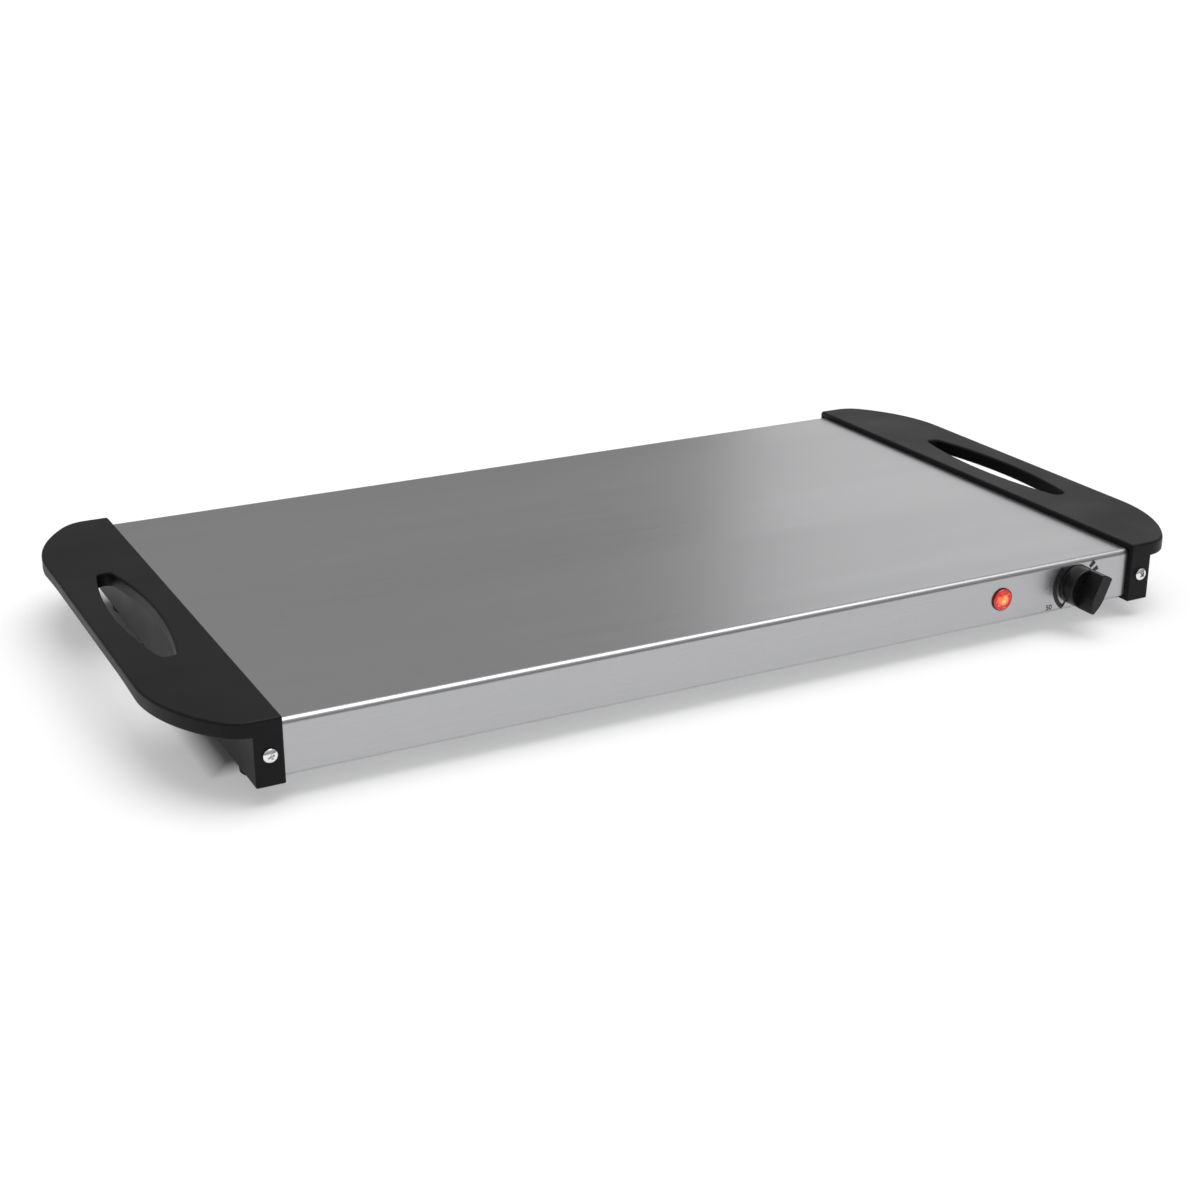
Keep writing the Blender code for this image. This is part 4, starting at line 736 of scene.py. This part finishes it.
# %% Hollow the underside
DEPTH = 0.004
BRACKET_X = 0.2645
RIM_WALL, COLLAR_WALL = 0.0025, 0.0021
RIB_SPACING, RIB_HALF, RIB_DEPTH = 0.036, 0.0009, 0.0035
inside = handle_edge("hollow", RIM_WALL, INNER_X - DEPTH, 0.001)
hollow = flat_solid([inside], RIM_UNDER - DEPTH, PLATE_UNDER)
collar = flat_solid([slot_edge("collar", COLLAR_WALL)], RIM_UNDER - 2 * DEPTH, PLATE_TOP)
cut(hollow, collar)
for rib in range(-3, 4):
    middle = rib * RIB_SPACING
    cut(hollow, box("rib", (BRACKET_X - 0.001, middle - RIB_HALF, PLATE_UNDER - RIB_DEPTH),
                    (OUTER_X + DEPTH, middle + RIB_HALF, PLATE_TOP)))
cut(handle, hollow)

# %% [markdown]
# The outer rim rises in a long shallow arch, where the hand goes under it. The arch is drawn in
# the side view from two equal spins, which join smoothly, and is pushed through the outer rim.

# %% Arch the outer rim
ARCH_HALF = 0.128
ARCH_FLAT = 0.0576
ARCH_RISE = 0.0027
ARCH_INNER_X = SLOT_X + 0.0132
arch_run = (ARCH_HALF - ARCH_FLAT) / 2
arch_radius = (arch_run ** 2 + (ARCH_RISE / 2) ** 2) / ARCH_RISE
arch_turn = math.asin(arch_run / arch_radius)
arch = trace("arch", (ARCH_HALF, RIM_UNDER - DEPTH, 0), [
    Vector((0, DEPTH, 0)),
    (Vector((ARCH_HALF, RIM_UNDER + arch_radius, 0)), -arch_turn, 12),
    (Vector((ARCH_FLAT, RIM_UNDER + ARCH_RISE - arch_radius, 0)), arch_turn, 12),
    Vector((-ARCH_FLAT, 0, 0))])
mirror_line(arch, (-1, 1, 1))
edit(arch)
low_ends = pick("VERT", lambda vert: vert.co.y < RIM_UNDER - DEPTH / 2)
bpy.ops.mesh.edge_face_add()
leave()
arch = flat_solid([arch], ARCH_INNER_X, OUTER_X + DEPTH)
stand(arch, turn=(math.pi / 2, 0, math.pi / 2))
cut(handle, arch)
print("arch ends", low_ends)

# %% [markdown]
# The bracket is a block with rounded upright and lower edges, hollowed so that the tray's end
# slides in, with lugs and bosses for the feet and holes for the screws. It is finished by itself
# and then welded to the plate, which it enters by a millimetre, so that no two faces lie in one
# plane.

# %% Grow the bracket
SHELF_LOW = 0.0100
SHELF_HIGH = 0.0122
FOOT_X = 0.2536
FOOT_Y = 0.119
BRACKET_SHORT, INTO_PLATE = 0.0001, 0.001
UPRIGHT_ROUND, LOWER_ROUND = 0.0009, 0.0008
bracket = box("bracket", (INNER_X + BRACKET_SHORT, BRACKET_SHORT - EDGE_Y, SHELF_LOW),
              (BRACKET_X, EDGE_Y - BRACKET_SHORT, PLATE_UNDER + INTO_PLATE))
edit(bracket)
pick("EDGE", lambda edge: abs(edge.verts[0].co.z - edge.verts[1].co.z) > DEPTH)
bevel(UPRIGHT_ROUND, 5)
pick("EDGE", lambda edge: max(vert.co.z for vert in edge.verts) < SHELF_LOW + WELD)
bevel(LOWER_ROUND, 5)
leave()
END_WALL, SIDE_WALL = 0.0029, 0.003
cut(bracket, box("seat", (INNER_X - DEPTH, END_WALL - EDGE_Y, SHELF_HIGH),
                 (BRACKET_X - SIDE_WALL, EDGE_Y - END_WALL, PLATE_TOP)))
LUG_RADIUS, LUG_LOW, LUG_HIGH = 0.0092, 0.0098, SHELF_HIGH + 0.0004
BOSS_RADIUS, BOSS_LOW, BOSS_HIGH = 0.0040, SHELF_HIGH - 0.0005, SHELF_HIGH + 0.010
BORE_RADIUS, BORE_LOW, BORE_HIGH = 0.0016, 0.005, 0.0161
for side in (-1, 1):
    foot_y = side * FOOT_Y
    lug = rod("lug", LUG_RADIUS, (FOOT_X, foot_y, LUG_LOW), (FOOT_X, foot_y, LUG_HIGH), 48)
    add(lug, rod("boss", BOSS_RADIUS, (FOOT_X, foot_y, BOSS_LOW), (FOOT_X, foot_y, BOSS_HIGH), 32))
    add(bracket, lug)
    cut(bracket, rod("foot_bore", BORE_RADIUS, (FOOT_X, foot_y, BORE_LOW), (FOOT_X, foot_y, BORE_HIGH), 24))
    cut(bracket, rod("screw_bore", SCREW_HOLE, (SCREW_X, side * (EDGE_Y + DEPTH), SCREW_Z),
                     (SCREW_X, side * (EDGE_Y - DEPTH), SCREW_Z), 24))
add(handle, bracket)

# %% [markdown]
# The left handle is the right one's mirror image. A negative scale turns the faces inside out, so
# the normals are made consistent again after it.

# %% Mirror the handle
left = twin(handle, "left_moulding")
whole(left)
bpy.ops.transform.resize(value=(-1, 1, 1), center_override=(0, 0, 0))
bpy.ops.mesh.normals_make_consistent(inside=False)
leave()
handle.name = "right_moulding"
for side, piece in (("right", handle), ("left", left)):
    stand(piece, at=(0, MIDDLE_Y, 0))
    dress(piece, "server", moulding, [side + "_handle"])

# %% [markdown]
# ## Screws
# A pan-head screw is turned: a crowned head over a straight shank. Its cross recess is two
# tapered slots that cross, pushed into the head. One screw of each size is modelled and copied,
# each copy with its own mesh, and turned to a slightly different angle as screws are.

# %% Model the screws
CROWN_SHARE, LIP_SHARE, SHOULDER_SHARE = 0.45, 0.86, 0.30
RECESS_LONG, RECESS_WIDE, RECESS_LOW, RECESS_HIGH = 0.60, 0.19, 0.12, 1.6
RECESS_TAPER = (0.60, 0.75, 1)


def screw(name, shank, head, height, length):
    """A pan-head screw that stands on the origin with its head up."""
    rise = height * CROWN_SHARE
    crown = (head ** 2 + rise ** 2) / (2 * rise)
    reach = math.asin(head / crown) * LIP_SHARE
    lip = Vector((crown * math.sin(reach), 0, crown * math.cos(reach) + height - crown))
    line = trace(name, (0, 0, height), [
        (Vector((0, 0, height - crown)), reach, 10),
        Vector((head - lip.x, 0, -SHOULDER_SHARE * lip.z)),
        Vector((0, 0, (SHOULDER_SHARE - 1) * lip.z)),
        Vector((shank - head, 0, 0)),
        Vector((0, 0, shank - length)),
        Vector((-shank, 0, -shank))], axis=(0, 1, 0))
    made = spun(line, 40)
    for turn in (0, math.pi / 2):
        wedge = box("recess", (-head * RECESS_LONG, -head * RECESS_WIDE, height * RECESS_LOW),
                    (head * RECESS_LONG, head * RECESS_WIDE, height * RECESS_HIGH))
        edit(wedge)
        pick("FACE", lambda face: face.normal.z < -0.9)
        bpy.ops.transform.resize(value=RECESS_TAPER, center_override=(0, 0, height * RECESS_LOW))
        leave()
        stand(wedge, turn=(0, 0, turn))
        cut(made, wedge)
    return made


FACING = {"front": (math.pi / 2, 0, 0), "back": (-math.pi / 2, 0, 0), "down": (math.pi, 0, 0)}
handle_screw = screw("handle_screw_pan", 0.0019, 0.0035, 0.0024, 0.0085)
foot_screw = screw("foot_screw_pan", 0.0015, 0.0032, 0.0022, 0.0110)
base_screw = screw("base_screw_pan", 0.0014, 0.0029, 0.0018, 0.0048)
earth_screw = screw("earth_screw_pan", 0.0019, 0.0039, 0.0024, 0.0095)


def drive(model, name, node, facing, seat, turn):
    """Puts a copy of a screw in its place, turned about its own axis first."""
    made = twin(model, name)
    stand(made, turn=(0, 0, turn))
    stand(made, turn=FACING[facing], at=seat)
    dress(made, "server", plating, [node], weighted=False)


# %% [markdown]
# ## Feet
# A foot is a short tapered puck with a soft lower edge and a well for its screw. It is turned
# from its profile, which runs down the outside, over the edge, and up the well.

# %% Turn the feet
FOOT_SEAT = 0.0048
COVER_TOP = 0.0122
COVER_SHEET = 0.0008
HEAD_GAP = 0.0001
line = profile("foot_puck", [
    (0.0018, 0.0095, 0), (0.0075, 0.0095, 0.0004), (0.0067, 0, 0.0012), (0.0035, 0, 0.0003),
    (0.0035, 0.0051, 0), (0.0018, 0.0051, 0), (0.0018, 0.0095, 0)])
foot = spun(line, 64)
corners = [("front_left", -1, -1), ("front_right", 1, -1), ("back_left", -1, 1), ("back_right", 1, 1)]
for number, (corner, side_x, side_y) in enumerate(corners):
    spot = Vector((side_x * FOOT_X, MIDDLE_Y + side_y * FOOT_Y, 0))
    puck = twin(foot, "puck_" + corner)
    stand(puck, at=spot)
    dress(puck, "server", rubber, ["foot_" + corner])
    drive(foot_screw, "foot_pan_" + corner, "foot_screw_" + corner, "down",
          spot + Vector((0, 0, FOOT_SEAT)), 0.5 + number)
    facing = "front" if side_y < 0 else "back"
    seat = Vector((side_x * SCREW_X, MIDDLE_Y + side_y * EDGE_Y, SCREW_Z))
    drive(handle_screw, "handle_pan_" + corner, "handle_screw_" + corner, facing, seat, 0.35 + 0.4 * number)
for number, (x, y) in enumerate(base_places, 1):
    seat = Vector((x, y + MIDDLE_Y, COVER_TOP - COVER_SHEET - HEAD_GAP))
    drive(base_screw, f"base_pan_{number}", f"base_screw_{number}", "down", seat, 0.7 * number)
earth_seat = Vector((EARTH_X, MIDDLE_Y + half_y + HEAD_GAP, CONTROL_Z))
drive(earth_screw, "earth_pan", "earth_screw", "back", earth_seat, 0.9)
for model in (handle_screw, foot_screw, base_screw, earth_screw, foot):
    bpy.data.objects.remove(model, do_unlink=True)

# %% [markdown]
# ## The base cover
# The bottom sheet is pressed: its middle is raised so that it stays stiff and clear of the table.
# Three rounded rectangles are drawn at their heights and bridged, the innermost is filled, and
# the two bends are bevelled. Solidify makes the sheet, and the vents, screw holes and notches
# round the lugs are punched. An inset would be quicker, but it would cross itself at the corners.
# All the vents are cut by one tool, because a row of single cuts can leave the sheet open.

# %% Press the base cover
COVER_X, COVER_Y = 0.2496, half_y - 0.0020
COVER_HOLE, NOTCH, BLOCK_HOLE = 0.0017, 0.0096, 0.0015
STILL_FLAT = 0.97
FLAT_EDGE, SLOPE, COVER_RISE, COVER_CORNER, COVER_BEND = 0.020, 0.004, 0.0016, 0.004, 0.0008


def round_rectangle(name, inset, radius, height):
    """A rectangle with round corners, moved inwards from the cover's edge by an inset."""
    x, y = COVER_X - inset, COVER_Y - inset
    line = trace(name, (x, 0, height), [
        Vector((0, y - radius, 0)),
        (Vector((x - radius, y - radius, height)), math.pi / 2, 8),
        Vector((radius - x, 0, 0))])
    return mirror_line(mirror_line(line, (-1, 1, 1)), (1, -1, 1))


cover = round_rectangle("cover_sheet", 0, COVER_CORNER, COVER_TOP)
bends = [
    round_rectangle("bend", FLAT_EDGE, COVER_CORNER, COVER_TOP),
    round_rectangle("bend", FLAT_EDGE + SLOPE, COVER_CORNER, COVER_TOP + COVER_RISE)]
only(cover)
for bend in bends:
    bend.select_set(True)
bpy.ops.object.join()
edit(cover)
pick("EDGE", lambda edge: edge.verts[0].co.z < COVER_TOP + WELD)
bpy.ops.mesh.bridge_edge_loops()
panel_x = COVER_X - FLAT_EDGE + WELD
panel_y = COVER_Y - FLAT_EDGE + WELD
pick("EDGE", lambda edge: not edge.link_faces or all(
    abs(vert.co.x) < panel_x and abs(vert.co.y) < panel_y for vert in edge.verts))
bpy.ops.mesh.bridge_edge_loops()
pick("EDGE", lambda edge: min(vert.co.z for vert in edge.verts) > COVER_TOP + COVER_RISE - WELD)
bpy.ops.mesh.edge_face_add()
bpy.ops.mesh.select_all(action="SELECT")
bpy.ops.mesh.normals_make_consistent(inside=False)
pick("EDGE", lambda edge: len(edge.link_faces) == 2
     and edge.link_faces[0].normal.dot(edge.link_faces[1].normal) < STILL_FLAT)
bevel(COVER_BEND, 4)
leave()
thicken(cover, COVER_SHEET)
punch_low, punch_high = COVER_TOP - THROUGH, COVER_TOP + 2 * THROUGH
for x, y in base_places:
    cut(cover, rod("cover_hole", COVER_HOLE, (x, y, punch_low), (x, y, punch_high), 24))
for corner, side_x, side_y in corners:
    x, y = side_x * FOOT_X, side_y * FOOT_Y
    cut(cover, rod("notch", NOTCH, (x, y, punch_low), (x, y, punch_high), 48))
block_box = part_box("block_screw")
block_y = (block_box[0].y + block_box[1].y) / 2 - MIDDLE_Y
cut(cover, rod("block_hole", BLOCK_HOLE, (GLAND_X, block_y, punch_low), (GLAND_X, block_y, punch_high), 24))

# %% Punch the vents
VENT_GROUP_X, VENT_SPACING, VENT_HALF, VENT_STRAIGHT = 0.135, 0.0095, 0.0016, 0.0164
vents = []
for group in (-1, 1):
    for vent in range(-3, 4):
        x = group * VENT_GROUP_X + vent * VENT_SPACING
        slot = trace("vent", (x + VENT_HALF, 0, 0), [
            Vector((0, VENT_STRAIGHT, 0)),
            (Vector((x, VENT_STRAIGHT, 0)), math.pi, 10),
            Vector((0, -VENT_STRAIGHT, 0))])
        vents.append(mirror_line(slot, (1, -1, 1)))
cut(cover, flat_solid(vents, punch_low, punch_high))
edit(cover)
cover_edges = bmesh.from_edit_mesh(cover.data).edges
print("open edges in the cover", sum(len(edge.link_faces) != 2 for edge in cover_edges))
leave()
stand(cover, at=(0, MIDDLE_Y, 0))
dress(cover, "server", cover_steel, ["base_cover"])

# %% [markdown]
# ## The knob
# A pointer knob: a round skirt with a fine ring at its front edge and a deep finger grip across
# it, which narrows to a nose that points at the scale. The skirt is turned with its hollow back.
# The grip is a drawn outline made into a plate with rounded edges and welded on, turned to the
# setting of the photograph.

# %% Turn the skirt
KNOB_TURN = math.radians(22.3)
skirt = profile("knob_pointer", [
    (0, 0.0086, 0), (0.0098, 0.0086, 0.0001), (0.0102, 0.0093, 0.0002), (0.0113, 0.0093, 0.0008),
    (0.0115, 0, 0.0002), (0.0097, 0, 0), (0.0095, 0.0066, 0.0005), (0.0049, 0.0066, 0),
    (0.0048, 0.0038, 0), (0, 0.0038, 0)])
knob = spun(skirt, 96)
print("skirt", [round(value * 1000, 2) for value in knob.dimensions])

# %% Shape the grip
GRIP_LONG, GRIP_HALF, GRIP_NOSE = 0.0114, 0.0039, 0.0009
GRIP_BACK, GRIP_FRONT, GRIP_ROUND = 0.0079, 0.0202, 0.0006
KNOB_GAP, KNOB_BORE, BORE_START, BORE_END = 0.0005, 0.0031, -0.002, 0.0150
grip_sag = GRIP_HALF - GRIP_NOSE
grip_radius = (GRIP_LONG ** 2 + grip_sag ** 2) / (2 * grip_sag)
grip_spread = math.asin(GRIP_LONG / grip_radius)
head_angle = math.acos(GRIP_HALF / GRIP_LONG)
head_y = GRIP_LONG * math.sin(head_angle)
grip = trace("grip", (0, GRIP_LONG, 0), [
    (Vector((0, 0, 0)), head_angle - math.pi / 2, 12),
    Vector((0, -head_y, 0)),
    (Vector((GRIP_HALF - grip_radius, 0, 0)), -grip_spread, 16),
    Vector((-GRIP_NOSE, 0, 0))])
mirror_line(grip, (-1, 1, 1))
grip = flat_solid([grip], GRIP_BACK, GRIP_FRONT, GRIP_ROUND, 4)
stand(grip, turn=(0, 0, -KNOB_TURN))
add(knob, grip)
cut(knob, rod("knob_bore", KNOB_BORE, (0, 0, BORE_START), (0, 0, BORE_END), 40))
stand(knob, turn=FACING["front"], at=(KNOB_X, MIDDLE_Y - half_y - KNOB_GAP, CONTROL_Z))
dress(knob, "knob", knob_black, ["knob"])

# %% [markdown]
# ## The indicator lamp
# The lens is a low dome with a flat rim in a thin black ring, which is painted shade: it stands for the
# shade on the lens's outer bevel. Its middle is cut into facets that scatter the neon. The facets are a
# disc inset several times, each ring turned by half a step and lifted, and left flat shaded.

# %% Model the lens
LENS_BACK, GEM_RADIUS, GEM_LIFT = 0.0003, 0.0046, 0.0009
FACET, FACET_RISE, FACET_FALL = 0.00125, 0.00042, 0.00010
lens = profile("lens_dome", [
    (0, 0.0013, 0), (0.0046, 0.0013, 0), (0.0050, 0.0018, 0.0002), (0.0056, 0.0017, 0.0003),
    (0.0062, 0.0010, 0.0003), (0.0062, LENS_BACK, 0), (0.0056, LENS_BACK, 0), (0.0056, -0.0085, 0),
    (0.0046, -0.0085, 0), (0.0046, -0.0002, 0), (0, -0.0002, 0)])
lens = spun(lens, 64)
clear()
bpy.ops.mesh.primitive_circle_add(
    vertices=12, radius=GEM_RADIUS, fill_type="NGON", location=(0, 0, LENS_BACK + GEM_LIFT))
gem = fresh("gem")
edit(gem)
bpy.ops.mesh.select_mode(type="FACE")
bpy.ops.mesh.select_all(action="SELECT")
for ring in range(3):
    bpy.ops.mesh.inset(thickness=FACET)
    bpy.ops.transform.translate(value=(0, 0, FACET_RISE - FACET_FALL * ring))
    bpy.ops.transform.rotate(value=math.pi / 12, orient_axis="Z", center_override=(0, 0, 0))
bpy.ops.mesh.select_all(action="SELECT")
bpy.ops.mesh.quads_convert_to_tris()
leave()
only(lens)
gem.select_set(True)
bpy.ops.object.join()
stand(lens, turn=FACING["front"], at=(LAMP_X, MIDDLE_Y - half_y, CONTROL_Z))
dress(lens, "server", red_lens, ["lamp_lens"], angle=20, weighted=False)

# %% Add the ring
# The thin black ring is painted shade: a dark ring put where the lens's outer bevel lies in shade.
RING_Z, RING_RADIUS, RING_WIRE, RING_STRETCH = 0.0007, 0.00626, 0.00024, 1.6
clear()
bpy.ops.mesh.primitive_torus_add(
    major_segments=64, minor_segments=12, major_radius=RING_RADIUS, minor_radius=RING_WIRE,
    location=(0, 0, RING_Z))
ring = fresh("lamp_shade_ring")
edit(ring)
pick("VERT", lambda vert: vert.co.z < RING_Z)
bpy.ops.transform.resize(value=(1, 1, RING_STRETCH), center_override=(0, 0, RING_Z))
leave()
stand(ring, turn=FACING["front"], at=(LAMP_X, MIDDLE_Y - half_y, CONTROL_Z))
dress(ring, "server", knob_black)

# %% [markdown]
# ## The cord gland
# The inlet is a nylon bush with a rounded collar, turned from its profile. No cord comes with it.

# %% Turn the gland
gland = profile("gland_bush", [
    (0.0040, -0.010, 0), (0.0040, 0.0029, 0.0009), (0.0094, 0.0029, 0.0009), (0.0094, 0.0003, 0),
    (0.0070, 0.0003, 0), (0.0070, -0.010, 0), (0.0040, -0.010, 0)])
gland = spun(gland, 64)
stand(gland, turn=FACING["back"], at=(GLAND_X, MIDDLE_Y + half_y, CONTROL_Z))
dress(gland, "server", nylon, ["cord_gland"])

# %% [markdown]
# ## The printed scale
# The heat setting is printed beside the knob: a thick curved stroke round its left side with a hook
# at its lower end, short blocks at its right, and a plain number at each end. Each is ink a few
# hundredths of a millimetre thick, so it is a very thin plate that lies on the steel.

# %% Print the strokes
INK = 0.00004
SCALE_RADIUS = 0.0148
STROKE = 0.0026
BLOCK = 0.0042
BLOCK_HALF_ANGLE = 4.8
HOOK = 0.0032
DIGIT_HEIGHT, DIGIT_WEIGHT = 0.0042, 0.00010


def printed(piece, name):
    """Lays a flat mark on the front face; its X and Y are across and up from the knob."""
    stand(piece, turn=FACING["front"], at=(KNOB_X, MIDDLE_Y - half_y, CONTROL_Z))
    piece.name = name
    dress(piece, "server", ink, weighted=False)


def stroke(start, end, inner, outer, steps):
    """A closed arc band between two angles, clockwise from the top."""
    first = Vector((math.sin(start), math.cos(start), 0))
    last = Vector((math.sin(end), math.cos(end), 0))
    line = trace("stroke", inner * first, [
        (outer - inner) * first,
        (Vector((0, 0, 0)), start - end, steps),
        (inner - outer) * last,
        (Vector((0, 0, 0)), end - start, steps)])
    whole(line)
    bpy.ops.mesh.remove_doubles(threshold=WELD)
    leave()
    return flat_solid([line], 0, INK)


long_stroke = stroke(math.radians(214), math.radians(318),
                     SCALE_RADIUS - STROKE / 2, SCALE_RADIUS + STROKE / 2, 40)
printed(long_stroke, "scale_stroke")
hook = stroke(math.radians(212), math.radians(219), SCALE_RADIUS - HOOK, SCALE_RADIUS, 4)
printed(hook, "scale_hook")
for number, angle in enumerate((47, 63, 79, 95, 111, 127)):
    block = stroke(math.radians(angle - BLOCK_HALF_ANGLE), math.radians(angle + BLOCK_HALF_ANGLE),
                   SCALE_RADIUS - BLOCK / 2, SCALE_RADIUS + BLOCK / 2, 4)
    printed(block, f"scale_block_{number + 1}")

# %% Print the numbers
labels = (("scale_low", "50", -0.0180, -0.0110), ("scale_high", "100", 0.0182, -0.0110))
for name, text, x, z in labels:
    clear()
    bpy.ops.object.text_add(location=(0, 0, 0))
    mark = bpy.context.object
    mark.data.body = text
    mark.data.size = DIGIT_HEIGHT
    mark.data.offset = DIGIT_WEIGHT
    mark.data.align_x = "CENTER"
    mark.data.align_y = "CENTER"
    mark.data.extrude = INK / 2
    only(mark)
    bpy.ops.object.convert(target="MESH")
    mark = bpy.context.object
    stand(mark, at=(x, z, INK / 2))
    tidy(mark)
    printed(mark, name)

# %% [markdown]
# ## Finishes for the solids that stay
# What is inside needs no new shape, but each solid still gets a finish of its own kind.

# %% Finish the inner solids
kept = {
    "aluminium": (aluminium, ["heat_spreader"]),
    "sheath": (sheath, ["heating_element"]),
    "cover": (cover_steel, ["clamp_bar_1", "clamp_bar_2", "clamp_bar_3", "thermostat_bracket", "lamp_clip",
                            "gland_clip"]),
    "ceramic": (ceramic, ["element_terminal_front", "element_terminal_back", "thermal_cutout",
                          "thermostat_body", "terminal_block"]),
    "fibre": (fibre, ["insulation_mat"]),
    "brass": (brass, ["thermostat_spindle", "earth_tag"]),
    "nylon": (nylon, ["lamp_base"]),
    "glass": (bulb_glass, ["lamp_bulb"]),
    "plating": (plating, ["thermostat_nut", "block_screw", "earth_nut"]
                + [f"clamp_nut_{number}" for number in range(1, 7)]
                + ["handle_nut_" + corner for corner, _, _ in corners])}
for kind, (finish, names) in kept.items():
    for name in names:
        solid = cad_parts[name].data
        solid.materials.clear()
        solid.materials.append(finish)
    print(kind, len(names))

# %% [markdown]
# ## Floor and light
# The floor is plain and pale. Its diffuse part takes the shadow, and an emission for camera, glossy and
# transmitted rays lifts it to white, so the steel reflects the same white. Under the server the lift fades
# out, so the floor there is painted darker: painted shade under the server. The studio grows brighter from
# the horizon to the ceiling, a wide lamp overhead draws the bright line along the fold, and a soft box at
# the back right brightens that end of the steel.

# %% Floor
LIFT = 0.35
floor_paint = new_finish("floor_paint", (0.66, 0.66, 0.66), 0.9)
floor_tree = floor_paint.node_tree
rays = floor_tree.nodes.new("ShaderNodeLightPath")
seen = maths(floor_paint, "MAXIMUM", rays.outputs["Is Camera Ray"], rays.outputs["Is Glossy Ray"])
seen = maths(floor_paint, "MAXIMUM", seen, rays.outputs["Is Transmission Ray"])
floor_place = floor_tree.nodes.new("ShaderNodeTexCoord")
floor_axes = floor_tree.nodes.new("ShaderNodeSeparateXYZ")
floor_tree.links.new(floor_place.outputs["Object"], floor_axes.inputs["Vector"])
# The lift is full outside the server's footprint and fades to none under it, which paints shade on the
# floor under the server.
edges = []
for axis, shift, near, far in (("X", 0.0, 0.262, 0.276), ("Y", -0.022, 0.118, 0.134)):
    shifted = maths(floor_paint, "ADD", floor_axes.outputs[axis], shift)
    away = maths(floor_paint, "ABSOLUTE", shifted)
    edges.append(between(floor_paint, away, 0.0, 1.0, near, far))
outside_painted_shade = maths(floor_paint, "MAXIMUM", *edges)
lift = maths(floor_paint, "MULTIPLY", maths(floor_paint, "MULTIPLY", seen, LIFT), outside_painted_shade)
feed(floor_paint, "Emission Strength", lift)
fix(floor_paint, "Emission Color", (1, 1, 1, 1))
fix(floor_paint, "Specular IOR Level", 0.0)
clear()
bpy.ops.mesh.primitive_circle_add(vertices=96, radius=14, fill_type="NGON", location=(0, 0, 0))
floor = fresh("studio_floor")
floor.data.materials.append(floor_paint)

# %% Light
world = bpy.data.worlds.new("studio")
bpy.context.scene.world = world
world.use_nodes = True
world.node_tree.nodes["Background"].inputs["Color"].default_value = (1.0, 1.0, 1.0, 1)
sky = world.node_tree
sky_way = sky.nodes.new("ShaderNodeTexCoord")
sky_axes = sky.nodes.new("ShaderNodeSeparateXYZ")
sky_level = sky.nodes.new("ShaderNodeMapRange")
sky_level.inputs["To Min"].default_value = 0.20
sky_level.inputs["To Max"].default_value = 0.70
sky.links.new(sky_way.outputs["Generated"], sky_axes.inputs["Vector"])
sky.links.new(sky_axes.outputs["Z"], sky_level.inputs["Value"])
sky.links.new(sky_level.outputs["Result"], sky.nodes["Background"].inputs["Strength"])


def soft_box(name, place, aim, width, height, level):
    """An area lamp whose face has this brightness, where 1 is white."""
    clear()
    bpy.ops.object.light_add(type="AREA", location=place)
    lamp = bpy.context.object
    lamp.name = name
    lamp.data.shape = "RECTANGLE"
    lamp.data.size = width
    lamp.data.size_y = height
    lamp.data.energy = level * math.pi * width * height
    way = Vector(aim) - Vector(place)
    lamp.rotation_euler = way.to_track_quat("-Z", "Y").to_euler()
    return lamp


clear()
bpy.ops.object.light_add(type="SUN", location=(0, 0, 3), rotation=(math.radians(3), math.radians(12), 0))
overhead = bpy.context.object
overhead.name = "overhead_light"
overhead.data.angle = math.radians(52)
overhead.data.energy = 0.53 * math.pi
soft_box("box_right", (1.7, 1.6, 0.80), (0.25, 0.0, 0.04), 1.1, 0.8, 0.75)

# %% [markdown]
# ## Camera
# The camera stands to the left of the front and looks down at about twenty-one degrees. Its place
# and lens were worked out from the straight edges and known heights in the photograph.

# %% Camera
clear()
bpy.ops.object.camera_add(
    location=(-0.48972, -0.92436, 0.40805),
    rotation=(math.radians(68.875), 0, math.radians(-27.43)))
camera = bpy.context.object
camera.data.sensor_width = 36
camera.data.lens = 58.01
camera.data.clip_end = 60
bpy.context.scene.camera = camera
bpy.context.scene.view_settings.view_transform = "Standard"

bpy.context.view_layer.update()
triangles = sum(len(piece.data.loops) - 2 * len(piece.data.polygons) for piece in pieces)
print("pieces", len(pieces), "triangles", triangles)
